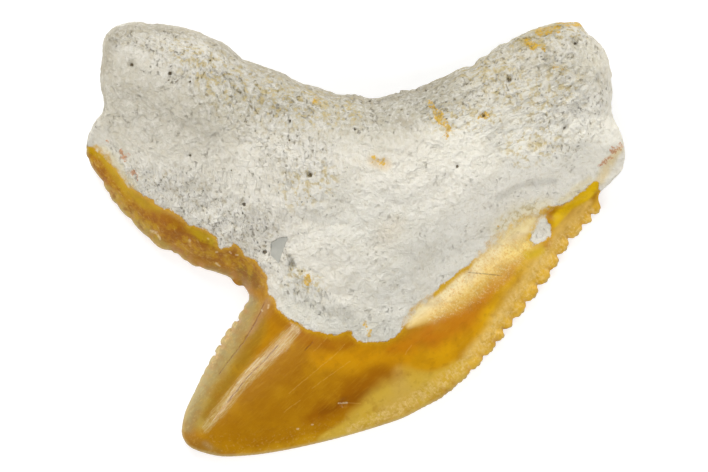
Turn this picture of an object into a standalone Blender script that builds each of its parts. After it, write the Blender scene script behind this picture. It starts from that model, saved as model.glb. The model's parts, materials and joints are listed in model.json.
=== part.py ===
"""Fossil tiger shark tooth, lying on its flat labial face with the root towards +Y."""

import math

import bmesh
import bpy
from mathutils import Vector, noise
from mathutils.geometry import delaunay_2d_cdt

MM = 0.001

# Heights above the table, in mm
CUTTING_EDGE_Z = 0.5
ROOT_RIM_Z = 1.7
CROWN_HEIGHT_SHARE = 0.36
CROWN_HEIGHT_POWER = 0.92
CROWN_HEIGHT_MOST = 3.3
RIDGE_SHARE = 0.25
RIDGE_FLATNESS = 0.45

# Rounding towards the outline, in mm
ROOT_ROUND = 2.9
ROOT_UNDER_ROUND = 1.5
CROWN_UNDER_ROUND = 1.3
ROOT_BLEND = 1.1

# The enamel ends in a low step against the root
STEP_HEIGHT = 0.16
STEP_WIDTH = 0.22
STEP_REACH = 3.2

# Serrations: depth in mm, and the distances from the tip where they begin and are whole
MESIAL_DEPTH = 0.3
MESIAL_FADE = (12.5, 18.5)
CUSP_DEPTH = 0.13
CUSP_FADE = (1.0, 6.5)
HEEL_DEPTH = 0.09
HEEL_FADE = (0.0, 1.0)
TIP = (-9.04, -10.05)

# Form of a serration: how square its bead is, and how much beads differ
BEAD_SQUARENESS = 0.55
BEAD_STEPS = 6
BEAD_VARIATION = 0.25
BEAD_WHOLE_LENGTH = 0.6
SHORTEST_BEAD = 0.15
PITCH_VARIATION = 0.12
LAST_BEAD_PITCHES = 1.6
EDGE_SAMPLING = 0.1
BASE_SAMPLING = 0.6
THROAT_SAMPLING = 0.25

# Mesh density, in mm
ROOT_RIM_STEP = 0.36
TOP_SPACING = 0.47
UNDER_SPACING = 0.95
ENAMEL_STEP = 0.42
ENAMEL_ROW_GAP = 0.12

# Rows inside the outline, in mm: distance in, step, least gap between points, least gap from the edge
TOP_ROWS = ((0.3, 0.34, 0.2, 0.1), (0.62, 0.42, 0.3, 0.3))
UNDER_ROWS = ((0.4, 0.5, 0.3, 0.15), (0.95, 0.8, 0.5, 0.5), (1.55, 0.9, 0.6, 1.0))

# Root surface
LUMP_HEIGHT = 0.3
LUMP_SIZE = 2.4
GRAIN_HEIGHT = 0.15
GRAIN_SIZE = 0.85
FIBRE_HEIGHT = 0.09
FIBRE_WIDTH = 0.5
FIBRE_LENGTHS = 5.0
FIBROUS_MIDDLE = (-6.0, 2.5)
FIBROUS_HALF_SIZE = (5.0, 6.5)
FIBROUS_EDGE = 3.0
TEXTURE_FROM_LINE = 1.2
ROOT_LEAST_RISE = 0.15
TOP_EDGE_LIFT = 0.12

# Points round a pit: ring radius as a share of the pit's, and how many
PIT_RINGS = ((0.55, 6), (1.05, 9))

# Root margin from the distal corner, over both lobes, to the mesial corner
ROOT_MARGIN = (
    (-13.95, 4.7), (-13.8, 5.6), (-13.6, 6.1), (-13.15, 6.5), (-13.05, 6.95), (-13.3, 8.0),
    (-13.3, 8.6), (-13.2, 9.4), (-13.15, 10.2), (-12.9, 10.7), (-12.5, 11.05), (-11.95, 11.2),
    (-11.35, 11.28), (-10.75, 11.15), (-9.75, 11.1), (-8.95, 11.0), (-8.15, 10.75), (-7.5, 10.45),
    (-6.7, 10.1), (-6.3, 9.75), (-5.8, 9.35), (-5.0, 9.07), (-4.15, 8.77), (-3.45, 8.48),
    (-3.0, 8.12), (-2.15, 7.93), (-1.05, 7.52), (0.1, 7.45), (0.75, 7.3), (1.5, 7.45),
    (2.15, 7.65), (2.75, 7.66), (3.65, 8.05), (4.5, 8.4), (5.35, 8.8), (6.05, 9.05),
    (6.25, 9.3), (6.85, 9.63), (7.25, 10.0), (7.85, 10.15), (8.05, 10.4), (9.0, 10.8),
    (9.85, 11.12), (10.75, 11.28), (11.55, 11.18), (11.8, 10.87), (12.05, 10.57), (12.6, 10.15),
    (12.97, 9.6), (13.17, 9.05), (13.27, 8.2), (13.3, 7.35), (13.27, 6.55), (13.47, 5.97),
    (13.7, 5.6), (13.9, 5.1), (14.0, 4.6), (14.0, 4.15), (13.9, 3.75), (13.7, 3.4),
    (13.3, 3.05), (12.95, 2.72), (12.7, 2.45), (12.57, 2.2), (12.57, 1.93), (12.72, 1.5),
)

# Mesial cutting edge through the tops of its beads, down to the tip
MESIAL_EDGE = (
    (12.72, 1.5), (12.25, 0.92), (11.65, 0.33), (10.97, -0.5), (10.52, -1.25), (10.05, -2.03),
    (9.35, -2.98), (8.68, -3.83), (7.98, -4.67), (7.58, -5.25), (6.97, -5.93), (6.37, -6.6),
    (5.53, -7.38), (4.5, -8.22), (3.47, -8.77), (2.4, -9.32), (1.1, -9.76), (-0.23, -10.16),
    (-1.8, -10.57), (-3.6, -10.96), (-5.3, -11.22), (-7.0, -11.29), (-8.2, -11.0), (-8.7, -10.75),
    (-8.97, -10.37), (-9.04, -10.05),
)

# Notches in the mesial edge, which is smooth nearer the tip
MESIAL_NOTCHES = (
    (12.3, 1.1), (11.85, 0.6), (11.15, -0.1), (10.65, -0.95), (10.1, -1.65), (9.5, -2.45),
    (8.8, -3.35), (8.15, -4.25), (7.75, -4.75), (7.3, -5.4), (6.65, -6.2), (5.85, -6.8),
    (5.1, -7.55), (4.7, -8.0), (3.95, -8.4), (3.25, -8.8), (2.65, -9.1), (1.9, -9.45),
    (1.2, -9.73), (0.0, -10.1), (-1.4, -10.45), (-2.8, -10.8), (-4.2, -11.05), (-5.6, -11.24),
    (-7.0, -11.29),
)

# Distal edge of the cusp, from the tip up to the deep notch over the heel
CUSP_EDGE = (
    (-9.04, -10.05), (-8.97, -9.53), (-8.83, -8.96), (-8.6, -8.42), (-8.25, -7.7), (-7.9, -6.95),
    (-7.17, -5.57), (-6.78, -4.9), (-6.4, -4.42), (-6.1, -4.0), (-5.8, -3.5), (-5.55, -3.2),
)
CUSP_PITCH = 0.56

# Rounded throat of the deep notch
NOTCH_THROAT = (
    (-5.55, -3.2), (-5.5, -2.92), (-5.68, -2.65), (-5.82, -2.42), (-6.06, -2.5), (-6.33, -2.32),
    (-6.45, -2.06),
)

# Distal heel from the deep notch back to the corner
HEEL_EDGE = (
    (-6.45, -2.06), (-6.9, -1.9), (-7.35, -1.72), (-8.0, -1.6), (-8.5, -1.38), (-8.85, -1.17),
    (-9.25, -0.82), (-9.7, -0.67), (-10.15, -0.52), (-10.67, -0.1), (-11.2, 0.42), (-11.57, 0.8),
    (-12.05, 1.3), (-12.6, 1.95), (-13.07, 2.75), (-13.4, 3.3), (-13.72, 3.75), (-13.92, 4.2),
    (-13.95, 4.7),
)
HEEL_NOTCHES = (
    (-6.45, -2.06), (-8.06, -1.55), (-8.72, -1.19), (-9.22, -0.85), (-9.53, -0.68), (-10.65, 0.05),
    (-11.68, 0.98), (-12.32, 1.76), (-12.75, 2.38), (-13.06, 2.84), (-13.87, 4.16),
)

# Where the enamel ends against the root on the lingual side
ENAMEL_LINE = (
    (-14.6, 4.7), (-13.45, 4.7), (-13.0, 4.45), (-12.7, 4.0), (-12.3, 3.55), (-11.95, 3.05),
    (-10.95, 2.3), (-9.8, 1.5), (-8.75, 0.9), (-8.1, 0.65), (-7.55, 0.4), (-7.15, 0.0),
    (-6.95, -0.45), (-6.45, -0.4), (-6.0, -0.45), (-5.65, -0.9), (-5.05, -1.2), (-4.75, -1.6),
    (-4.55, -2.05), (-4.5, -2.8), (-4.15, -3.2), (-3.98, -3.65), (-3.4, -4.1), (-2.8, -4.42),
    (-2.45, -4.67), (-1.65, -4.85), (-1.0, -4.88), (-0.25, -4.75), (0.1, -5.2), (0.55, -5.32),
    (1.05, -5.3), (1.6, -5.25), (2.05, -5.0), (2.37, -4.75), (2.5, -4.35), (2.97, -3.55),
    (4.05, -2.75), (4.65, -2.15), (5.6, -1.45), (6.6, -0.6), (7.4, 0.05), (8.55, 0.85),
    (9.75, 1.45), (10.55, 1.6), (11.3, 1.9), (12.05, 2.2), (12.75, 2.35), (13.6, 2.2),
)

# Corners past the outline that close the root's side of that line
BEYOND_ROOT = ((16.0, 2.2), (16.0, 14.0), (-16.0, 14.0), (-16.0, 4.7))

# Lingual heights of the root: x, y and height above the table
ROOT_FORM = (
    (-10.6, 8.2, 4.7), (-12.8, 6.9, 3.5), (-12.7, 5.0, 2.9), (-9.2, 4.4, 4.3), (-7.0, 6.4, 5.2),
    (-6.3, 1.8, 4.3), (-5.8, -0.1, 3.1), (-3.4, 3.4, 5.7), (-0.6, 4.2, 6.2), (0.8, 6.0, 5.6),
    (-1.0, -1.0, 5.0), (-2.9, -3.9, 3.2), (0.5, -4.9, 3.2), (3.6, -0.9, 4.6), (6.4, 0.6, 4.2),
    (5.9, 4.4, 5.5), (10.5, 8.2, 4.8), (11.0, 4.6, 4.2), (12.8, 4.0, 3.1), (11.6, 2.5, 2.6),
    (3.2, 4.8, 5.9), (8.6, 2.6, 4.2),
)
ROOT_FORM_REACH = 2.1

# Larger pits of the root: x, y, radius and depth
ROOT_PITS = (
    (-11.55, 8.95, 0.26, 0.28), (11.25, 10.0, 0.24, 0.26), (-5.75, 1.8, 0.23, 0.28),
    (-9.5, 8.35, 0.23, 0.16), (-7.5, 9.1, 0.2, 0.14), (7.9, 8.2, 0.26, 0.18),
    (6.55, 6.3, 0.22, 0.18), (5.2, 3.7, 0.2, 0.16), (2.4, 5.95, 0.32, 0.15),
    (10.75, 5.65, 0.22, 0.16), (-3.4, 6.0, 0.2, 0.16), (-2.35, 3.25, 0.2, 0.2),
    (-4.7, -0.7, 0.2, 0.16), (-12.2, 6.3, 0.28, 0.16), (-8.5, 4.25, 0.2, 0.16),
    (5.7, 7.95, 0.22, 0.16), (-0.05, 5.6, 0.2, 0.14), (-5.95, 7.45, 0.2, 0.15),
)

# Chips broken out of the enamel: x, y, radius and depth
ENAMEL_CHIPS = (
    (9.75, 0.4, 0.55, 0.16), (-0.65, -8.5, 0.3, 0.1), (-10.35, 0.2, 0.3, 0.12),
)

# Grey flat left on the root, a little under the skin round it: x, y, radius and depth
FLAT_PATCH = (-4.05, -0.45, 0.62, 0.12)
FLAT_PATCH_NARROWNESS = 0.75

# Arched labial hollow between crown and root: top of the arch, half length, half width
HOLLOW_TOP = (1.5, 5.0)
HOLLOW_HALF_LENGTH = 6.5
HOLLOW_HALF_WIDTH = 1.1
HOLLOW_CURVE = 0.045
HOLLOW_DEPTH = 0.35
HOLLOW_FROM_EDGE = (1.2, 1.5)


def smooth_through(points, step):
    """Open curve through the points, sampled at about the given step."""
    path = [Vector(point) for point in points]
    path = [2 * path[0] - path[1]] + path + [2 * path[-1] - path[-2]]
    out = []
    for i in range(1, len(path) - 2):
        before, start, end, after = path[i - 1:i + 3]
        count = max(1, round((end - start).length / step))
        for k in range(count):
            t = k / count
            out.append(0.5 * (
                2 * start
                + (end - before) * t
                + (2 * before - 5 * start + 4 * end - after) * t * t
                + (3 * start - before - 3 * end + after) * t * t * t
            ))
    out.append(path[-2])
    return out


def lengths_along(path):
    """Distance from the start of the path to each of its points."""
    total = [0.0]
    for a, b in zip(path, path[1:]):
        total.append(total[-1] + (b - a).length)
    return total


def point_at(path, total, distance):
    """Place and inward side of the path at a distance along it."""
    i = 1
    while i < len(path) - 1 and total[i] < distance:
        i += 1
    span = total[i] - total[i - 1]
    t = (distance - total[i - 1]) / span
    along = (path[i] - path[i - 1]).normalized()
    return path[i - 1].lerp(path[i], t), Vector((along.y, -along.x))


def nearest_on(path, total, place):
    """Distance along the path of its point nearest a place."""
    index = min(range(len(path)), key=lambda i: (path[i] - place).length)
    return total[index]


def bead_ends(path, total, notches, pitch):
    """Distances along a cutting edge of the notches between its beads."""
    cuts = sorted(nearest_on(path, total, Vector(notch)) for notch in notches)
    cuts = [0.0] + [cut for cut in cuts if cut > SHORTEST_BEAD]
    while pitch and cuts[-1] + LAST_BEAD_PITCHES * pitch < total[-1]:
        cuts.append(cuts[-1] + pitch * (1.0 + PITCH_VARIATION * math.sin(5.0 * len(cuts))))
    if total[-1] - cuts[-1] > SHORTEST_BEAD:
        cuts.append(total[-1])
    return cuts


def serrated(points, notches, depth, fade, pitch=0.0):
    """Cutting edge whose beads are parted by notches, at given places or at a pitch."""
    path = smooth_through(points, EDGE_SAMPLING)
    total = lengths_along(path)
    cuts = bead_ends(path, total, notches, pitch)
    begins, whole = fade
    out = []
    for number, (start, end) in enumerate(zip(cuts, cuts[1:])):
        share = 1.0 + BEAD_VARIATION * math.sin(2.3 * number)
        share *= min(1.0, (end - start) / BEAD_WHOLE_LENGTH)
        for k in range(BEAD_STEPS):
            distance = start + (end - start) * k / BEAD_STEPS
            place, inward = point_at(path, total, distance)
            grown = eased(((place - Vector(TIP)).length - begins) / (whole - begins))
            bulge = abs(math.sin(math.pi * k / BEAD_STEPS)) ** BEAD_SQUARENESS
            if distance == 0.0:
                bulge = 1.0
            out.append(place + inward * depth * share * grown * (1.0 - bulge))
    return out


def distance_to(path, place):
    """Distance from a place to the nearest point of a path."""
    best = 1e9
    for a, b in zip(path, path[1:]):
        side = b - a
        length = side.length_squared
        t = 0.0 if length == 0.0 else max(0.0, min(1.0, (place - a).dot(side) / length))
        best = min(best, (place - a - side * t).length_squared)
    return math.sqrt(best)


def is_inside(loop, place):
    """True if a place lies inside the closed loop."""
    inside = False
    for a, b in zip(loop, loop[1:] + loop[:1]):
        if (a.y > place.y) != (b.y > place.y):
            if place.x < a.x + (place.y - a.y) / (b.y - a.y) * (b.x - a.x):
                inside = not inside
    return inside


def eased(value):
    """Zero to one with level ends."""
    value = max(0.0, min(1.0, value))
    return value * value * (3.0 - 2.0 * value)


class Tooth:
    """Curves and height rules of the tooth, in mm."""

    def __init__(self):
        """Lays out the edges and the closed outline."""
        self.root_margin = smooth_through(ROOT_MARGIN, ROOT_RIM_STEP)
        self.mesial = serrated(MESIAL_EDGE, MESIAL_NOTCHES, MESIAL_DEPTH, MESIAL_FADE)
        self.cusp = serrated(CUSP_EDGE, (), CUSP_DEPTH, CUSP_FADE, CUSP_PITCH)
        self.throat = smooth_through(NOTCH_THROAT, THROAT_SAMPLING)
        self.heel = serrated(HEEL_EDGE, HEEL_NOTCHES, HEEL_DEPTH, HEEL_FADE)
        outline = self.root_margin[:-1] + self.mesial + self.cusp + self.throat[:-1] + self.heel
        self.outline = outline[::-1]
        self.closed_outline = self.outline + self.outline[:1]
        self.mesial_base = smooth_through(MESIAL_EDGE, BASE_SAMPLING)
        self.cusp_base = smooth_through(CUSP_EDGE, BASE_SAMPLING)
        self.heel_base = smooth_through(HEEL_EDGE, BASE_SAMPLING)
        self.distal_base = self.cusp_base + self.heel_base
        self.enamel_line = smooth_through(ENAMEL_LINE, ENAMEL_STEP)
        self.root_side = self.enamel_line + [Vector(corner) for corner in BEYOND_ROOT]

    def rootness(self, place, width):
        """Zero in the enamel, one in the root, changing over the given width at their line."""
        away = distance_to(self.enamel_line, place)
        signed = away if is_inside(self.root_side, place) else -away
        return eased(0.5 + signed / width), away

    def crown_height(self, place):
        """Height of the lingual enamel over the cutting edge: a ridge near the distal side."""
        to_distal = distance_to(self.distal_base, place)
        to_mesial = distance_to(self.mesial_base, place)
        width = to_distal + to_mesial
        crest = CROWN_HEIGHT_SHARE * width ** CROWN_HEIGHT_POWER
        crest = crest / (1.0 + (crest / CROWN_HEIGHT_MOST) ** 4) ** 0.25
        share = to_distal / width
        if share < RIDGE_SHARE:
            rise = share / RIDGE_SHARE
            bowed = math.sin(0.5 * math.pi * rise)
            return crest * (RIDGE_FLATNESS * rise + (1.0 - RIDGE_FLATNESS) * bowed)
        fall = (share - RIDGE_SHARE) / (1.0 - RIDGE_SHARE)
        return crest * math.cos(0.5 * math.pi * fall) ** 0.9

    def root_height(self, place):
        """Height of the root's lingual face over the table, from its form points."""
        weights = 0.0
        height = 0.0
        for x, y, z in ROOT_FORM:
            away = (place - Vector((x, y))).length / ROOT_FORM_REACH
            weight = math.exp(-0.5 * away * away) + 1e-6 / (1.0 + away * away)
            weights += weight
            height += weight * z
        return height / weights

    def rim_height(self, place):
        """Height of the outline itself: low at the cutting edges, half way up the root."""
        share, _ = self.rootness(place, 2.0 * ROOT_BLEND)
        return CUTTING_EDGE_Z + (ROOT_RIM_Z - CUTTING_EDGE_Z) * share

    def root_texture(self, place):
        """Lumps, grain and fibres of the root."""
        at = Vector((place.x, place.y, 3.7))
        lumps = LUMP_HEIGHT * noise.noise(at / LUMP_SIZE)
        grain = GRAIN_HEIGHT * noise.noise(at / GRAIN_SIZE + Vector((11.0, 5.0, 0.0)))
        across = Vector((at.x / FIBRE_WIDTH, at.y / (FIBRE_LENGTHS * FIBRE_WIDTH), 1.3))
        fibres = FIBRE_HEIGHT * noise.noise(across)
        for value, middle, half in zip(place, FIBROUS_MIDDLE, FIBROUS_HALF_SIZE):
            fibres *= eased((half - abs(value - middle)) / FIBROUS_EDGE)
        return lumps + grain + fibres

    def dents(self, place):
        """Depth of the pits, chips and the flat patch at a place."""
        depth = 0.0
        for x, y, radius, deep in ROOT_PITS + ENAMEL_CHIPS:
            away = (place - Vector((x, y))).length / radius
            if away < 1.0:
                depth = max(depth, deep * (1.0 - away * away))
        x, y, radius, deep = FLAT_PATCH
        away = math.hypot((place.x - x) / FLAT_PATCH_NARROWNESS, place.y - y) / radius
        return max(depth, deep * eased(3.0 * (1.0 - away)))

    def top(self, place, from_outline):
        """Height of the lingual face."""
        if from_outline < 1e-4:
            return self.rim_height(place)
        rim = self.rim_height(place)
        share, away = self.rootness(place, STEP_WIDTH)
        crown = CUTTING_EDGE_Z + self.crown_height(place)
        inner = crown + STEP_HEIGHT
        inner += (self.root_height(place) - inner) * eased(away / STEP_REACH)
        inner += self.root_texture(place) * eased(away / TEXTURE_FROM_LINE)
        to_margin = min(1.0, distance_to(self.root_margin, place) / ROOT_ROUND)
        rounding = math.sqrt(1.0 - (1.0 - to_margin) ** 2)
        root = rim + max(ROOT_LEAST_RISE, inner - rim) * rounding
        height = crown + (root - crown) * share
        lift = min(1.0, from_outline / TOP_EDGE_LIFT)
        return rim + (max(height, rim + 0.02) - rim) * lift - self.dents(place) * lift

    def under(self, place, from_outline):
        """Height of the labial face: flat on the table, rounded up to the outline."""
        rim = self.rim_height(place)
        share, _ = self.rootness(place, 2.0 * ROOT_BLEND)
        reach = CROWN_UNDER_ROUND + (ROOT_UNDER_ROUND - CROWN_UNDER_ROUND) * share
        left = max(0.0, 1.0 - from_outline / reach)
        crown = rim * left ** 2
        root = rim * (1.0 - math.sqrt(1.0 - left ** 2))
        x, y = HOLLOW_TOP
        arch = y - HOLLOW_CURVE * (place.x - x) ** 2
        begins, width = HOLLOW_FROM_EDGE
        hollow = eased(1.0 - abs(place.y - arch) / HOLLOW_HALF_WIDTH)
        hollow *= eased(2.0 - abs(place.x - x) / HOLLOW_HALF_LENGTH)
        hollow *= eased((from_outline - begins) / width)
        return crown + (root - crown) * share + HOLLOW_DEPTH * hollow

    def inset_row(self, gap, step):
        """Points a gap inside the smooth outline, at about the given step."""
        base = self.root_margin + self.mesial_base + self.cusp_base + self.throat + self.heel_base
        total = lengths_along(base)
        out = []
        for k in range(int(total[-1] / step)):
            place, inward = point_at(base, total, (k + 0.5) * step)
            out.append(place + inward * gap)
        return out

    def edge_rows(self, rows):
        """Rows of points inside the outline, each with its least gaps."""
        return [(self.inset_row(inward, step), gap, from_edge) for inward, step, gap, from_edge in rows]

    def lattice(self, spacing):
        """Even triangular lattice over the whole tooth."""
        out = []
        row_gap = spacing * math.sqrt(0.75)
        for j in range(int(24.0 / row_gap)):
            for i in range(int(30.0 / spacing)):
                out.append(Vector((-15.0 + (i + 0.5 * (j % 2)) * spacing, -12.0 + j * row_gap)))
        return out

    def pit_rings(self):
        """Points that give the larger pits and chips their shape."""
        out = []
        for x, y, radius, _ in ROOT_PITS + ENAMEL_CHIPS:
            out.append(Vector((x, y)))
            for ring, count in PIT_RINGS:
                for k in range(count):
                    turn = 2.0 * math.pi * k / count
                    away = ring * radius * Vector((math.cos(turn), math.sin(turn)))
                    out.append(Vector((x, y)) + away)
        return out

    def enamel_rows(self):
        """Points on both sides of the enamel line, so that its step stays sharp."""
        total = lengths_along(self.enamel_line)
        out = []
        for k in range(int(total[-1] / ENAMEL_STEP)):
            place, inward = point_at(self.enamel_line, total, (k + 0.5) * ENAMEL_STEP)
            out.append(place + inward * ENAMEL_ROW_GAP)
            out.append(place - inward * ENAMEL_ROW_GAP)
        return out

    def spread(self, groups):
        """Points of the groups that lie inside the outline and not too near one another."""
        cells = {}
        kept = []
        for points, gap, from_edge in groups:
            for place in points:
                column, row = math.floor(place.x), math.floor(place.y)
                around = [
                    other
                    for i in (-1, 0, 1)
                    for j in (-1, 0, 1)
                    for other in cells.get((column + i, row + j), ())
                ]
                if any((other - place).length < gap for other in around):
                    continue
                if not is_inside(self.outline, place):
                    continue
                if distance_to(self.closed_outline, place) < from_edge:
                    continue
                cells.setdefault((column, row), []).append(place)
                kept.append(place)
        return kept

    def filled(self, inner):
        """Flat triangles over the outline and inner points."""
        rim = [list(range(len(self.outline)))]
        flat, _, faces, _, _, _ = delaunay_2d_cdt(self.outline + inner, [], rim, 1, 1e-6)
        return flat, faces

    def sheet(self, inner, height):
        """Triangles over the outline and inner points, lifted to a height rule."""
        count = len(self.outline)
        flat, faces = self.filled(inner)
        ears = [face for face in faces if max(face) < count]
        centres = [(flat[a] + flat[b] + flat[c]) / 3.0 for a, b, c in ears]
        flat, faces = self.filled(inner + centres)
        points = []
        for place in flat:
            away = distance_to(self.closed_outline, place)
            away = 0.0 if away < 1e-4 else away
            points.append((place.x, place.y, height(place, away)))
        return points, faces

    def middle(self):
        """Middle of the outline's bounds, which becomes the origin."""
        xs = [place.x for place in self.outline]
        ys = [place.y for place in self.outline]
        return Vector((0.5 * (min(xs) + max(xs)), 0.5 * (min(ys) + max(ys)), 0.0))


def build_mesh(tooth):
    """One closed mesh: the lingual sheet, and the labial sheet turned over."""
    top_points = tooth.spread(tooth.edge_rows(TOP_ROWS) + [
        (tooth.pit_rings(), 0.09, 0.25),
        (tooth.enamel_rows(), 0.16, 0.25),
        (tooth.lattice(TOP_SPACING), 0.3, 0.35),
    ])
    under_points = tooth.spread(tooth.edge_rows(UNDER_ROWS) + [(tooth.lattice(UNDER_SPACING), 0.7, 1.4)])
    middle = tooth.middle()
    mesh = bmesh.new()
    for inner, height, turn in (
        (top_points, tooth.top, False),
        (under_points, tooth.under, True),
    ):
        points, faces = tooth.sheet(inner, height)
        corners = [mesh.verts.new((Vector(point) - middle) * MM) for point in points]
        for face in faces:
            order = [corners[index] for index in face]
            mesh.faces.new(order[::-1] if turn else order)
    bmesh.ops.remove_doubles(mesh, verts=mesh.verts, dist=1e-7)
    bmesh.ops.recalc_face_normals(mesh, faces=mesh.faces)
    return mesh


def bone_material():
    """Plain warm off-white for the solid."""
    material = bpy.data.materials.new("Tooth")
    material.use_nodes = True
    shader = material.node_tree.nodes["Principled BSDF"]
    shader.inputs["Base Color"].default_value = (0.62, 0.5, 0.3, 1.0)
    shader.inputs["Roughness"].default_value = 0.4
    return material


def main():
    """Clears the scene and builds the tooth."""
    for old in list(bpy.data.objects):
        bpy.data.objects.remove(old, do_unlink=True)
    collection = bpy.data.collections.new("Fossil Shark Tooth")
    bpy.context.scene.collection.children.link(collection)
    mesh = build_mesh(Tooth())
    data = bpy.data.meshes.new("tooth")
    mesh.to_mesh(data)
    mesh.free()
    data.materials.append(bone_material())
    tooth = bpy.data.objects.new("tooth", data)
    collection.objects.link(tooth)


main()
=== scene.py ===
"""Looks of the fossil tiger shark tooth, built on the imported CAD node.

Heights are in mm. Places are in the photograph's picture plane, in its own steps.
"""

import json
import logging
import math
from dataclasses import dataclass
from enum import Enum
from typing import Callable, Sequence

import bpy
import numpy as np
from mathutils import Matrix, Vector, noise

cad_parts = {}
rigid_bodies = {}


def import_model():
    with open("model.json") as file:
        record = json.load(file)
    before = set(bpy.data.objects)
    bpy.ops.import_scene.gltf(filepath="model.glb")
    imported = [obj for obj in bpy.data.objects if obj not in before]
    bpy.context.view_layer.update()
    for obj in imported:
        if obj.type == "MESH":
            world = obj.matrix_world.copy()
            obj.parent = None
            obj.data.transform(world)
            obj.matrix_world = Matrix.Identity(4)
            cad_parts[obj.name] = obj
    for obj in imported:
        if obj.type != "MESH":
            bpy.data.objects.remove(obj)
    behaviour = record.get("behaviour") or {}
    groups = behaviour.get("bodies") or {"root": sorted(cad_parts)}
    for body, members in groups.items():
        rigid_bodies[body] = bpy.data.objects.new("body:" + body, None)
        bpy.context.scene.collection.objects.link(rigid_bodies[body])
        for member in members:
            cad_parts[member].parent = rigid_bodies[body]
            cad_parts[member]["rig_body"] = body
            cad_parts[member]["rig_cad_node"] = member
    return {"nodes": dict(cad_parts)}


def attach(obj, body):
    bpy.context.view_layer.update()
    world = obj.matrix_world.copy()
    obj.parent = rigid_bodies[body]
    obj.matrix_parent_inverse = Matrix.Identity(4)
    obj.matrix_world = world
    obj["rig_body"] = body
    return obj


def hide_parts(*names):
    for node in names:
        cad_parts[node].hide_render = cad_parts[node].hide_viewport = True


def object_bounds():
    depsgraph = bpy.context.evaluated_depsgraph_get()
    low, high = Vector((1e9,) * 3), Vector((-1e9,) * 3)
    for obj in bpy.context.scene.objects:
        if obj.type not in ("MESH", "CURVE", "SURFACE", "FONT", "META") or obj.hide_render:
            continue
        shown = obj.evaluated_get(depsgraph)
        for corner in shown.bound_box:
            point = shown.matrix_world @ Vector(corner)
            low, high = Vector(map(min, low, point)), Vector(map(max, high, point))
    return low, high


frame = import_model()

LOG = logging.getLogger("tooth")
CAD_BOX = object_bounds()
MM = 0.001

Colour = tuple[float, float, float]
Place = tuple[float, float]
Path = tuple[tuple[float, ...], ...]
Mark = tuple[Place, Place, float]


class Part(Enum):
    """The two tissues that show."""

    ROOT = "root_tone"
    ENAMEL = "enamel_tone"


class Mask(Enum):
    """Per-vertex values that the material reads."""

    ENAMEL = "enamel"
    EDGE = "edge"
    TOP = "top"
    COARSE = "coarse"
    FIBROUS = "fibrous"
    LAYERED = "layered"
    OCHRE = "ochre"
    ORANGE = "orange"
    PINK = "pink"
    PIT = "pit"
    GROOVE = "groove"
    SHEEN = "sheen"
    SOFT = "soft"
    STREAK = "streak"
    FROST = "frost"
    THIN = "thin"
    FLAT = "flat"


class Seed(Enum):
    """Shifts that give each relief its own part of the noise."""

    LUMPS = 3.1
    GRAIN = 17.7
    CRUMBS = 7.3
    FIBRES = 1.9
    RIPPLES = 5.5
    SWIRL = 9.0
    BREAKS = 21.0
    ACROSS = 31.0
    DOWN = 47.0


class Run(Enum):
    """Ways that the surface's lines run, as turns about Z in degrees."""

    CRUMBS = -6.0
    THREADS = -4.0
    SLITS = -8.0
    MESIAL_LAYERS = -27.0
    DISTAL_LAYERS = 33.0
    STREAKS = -42.0
    BRUSHED = -48.0
    HEEL = -35.0


@dataclass(frozen=True)
class Picture:
    """The photograph's picture plane, which the marks are placed in.

    The camera looks straight down, so a place in the picture is a place on the tooth.
    """

    steps_per_mm: float = 19.36
    across: float = 356.0
    down: float = 238.5
    width: int = 708
    height: int = 472
    origin_x_mm: float = 0.02

    def of_points(self, points: np.ndarray) -> np.ndarray:
        """Two picture coordinates per row, of points in metres."""
        from_middle = (points[:, :2] / MM + (self.origin_x_mm, 0.0)) * (self.steps_per_mm, -self.steps_per_mm)
        return from_middle + (self.across, self.down)


PICTURE = Picture()


@dataclass(frozen=True)
class Tint:
    """A soft-edged zone of display colour along a path whose places have half widths."""

    colour: Colour
    path: Path
    strength: float = 0.8
    soft: float = 0.8


@dataclass(frozen=True)
class Spot:
    """A small round mark."""

    across: float
    down: float
    radius: float
    strength: float = 1.0


def linear(colour: Colour) -> Colour:
    """Linear colour, from 0 to 1, of a display colour from 0 to 255."""
    shares = [value / 255 for value in colour]
    return tuple(share / 12.92 if share <= 0.04 else ((share + 0.055) / 1.055) ** 2.4 for share in shares)


def eased(value: np.ndarray) -> np.ndarray:
    """Zero to one with level ends, for values that are clipped to that range."""
    value = np.clip(value, 0.0, 1.0)
    return value * value * (3.0 - 2.0 * value)


def from_path(at: np.ndarray, path: Path) -> tuple[np.ndarray, np.ndarray, np.ndarray]:
    """Distance of places from a path, its half width there, and the distance along it.

    Args:
        at: Picture coordinates, one place per row.
        path: Places along the path, each with its half width, or without one for 1.

    Returns:
        Three arrays: distance, half width at the nearest point, and distance along the path.
    """
    rows = np.array([(*row, 1.0)[:3] for row in path], float)
    best, width, along = np.full(len(at), np.inf), np.ones(len(at)), np.zeros(len(at))
    run = 0.0
    for (*start, first), (*end, last) in zip(rows, rows[1:]):
        side = np.subtract(end, start)
        length = max(float(side @ side), 1e-12)
        share = np.clip((at - start) @ side / length, 0.0, 1.0)
        gap = ((at - start - share[:, None] * side) ** 2).sum(axis=1)
        nearer = gap < best
        best = np.where(nearer, gap, best)
        width = np.where(nearer, first + (last - first) * share, width)
        along = np.where(nearer, run + share * math.sqrt(length), along)
        run += math.sqrt(length)
    return np.sqrt(best), width, along


def inside(at: np.ndarray, loop: Path) -> np.ndarray:
    """Which places lie inside a closed loop.

    Args:
        at: Picture coordinates, one place per row.
        loop: Corners of the loop.

    Returns:
        True where a place lies inside.
    """
    found = np.zeros(len(at), bool)
    for (ax, ay), (bx, by) in zip(loop, loop[1:] + loop[:1]):
        if ay != by:
            crosses = (ay > at[:, 1]) != (by > at[:, 1])
            found ^= crosses & (at[:, 0] < ax + (at[:, 1] - ay) / (by - ay) * (bx - ax))
    return found


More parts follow.
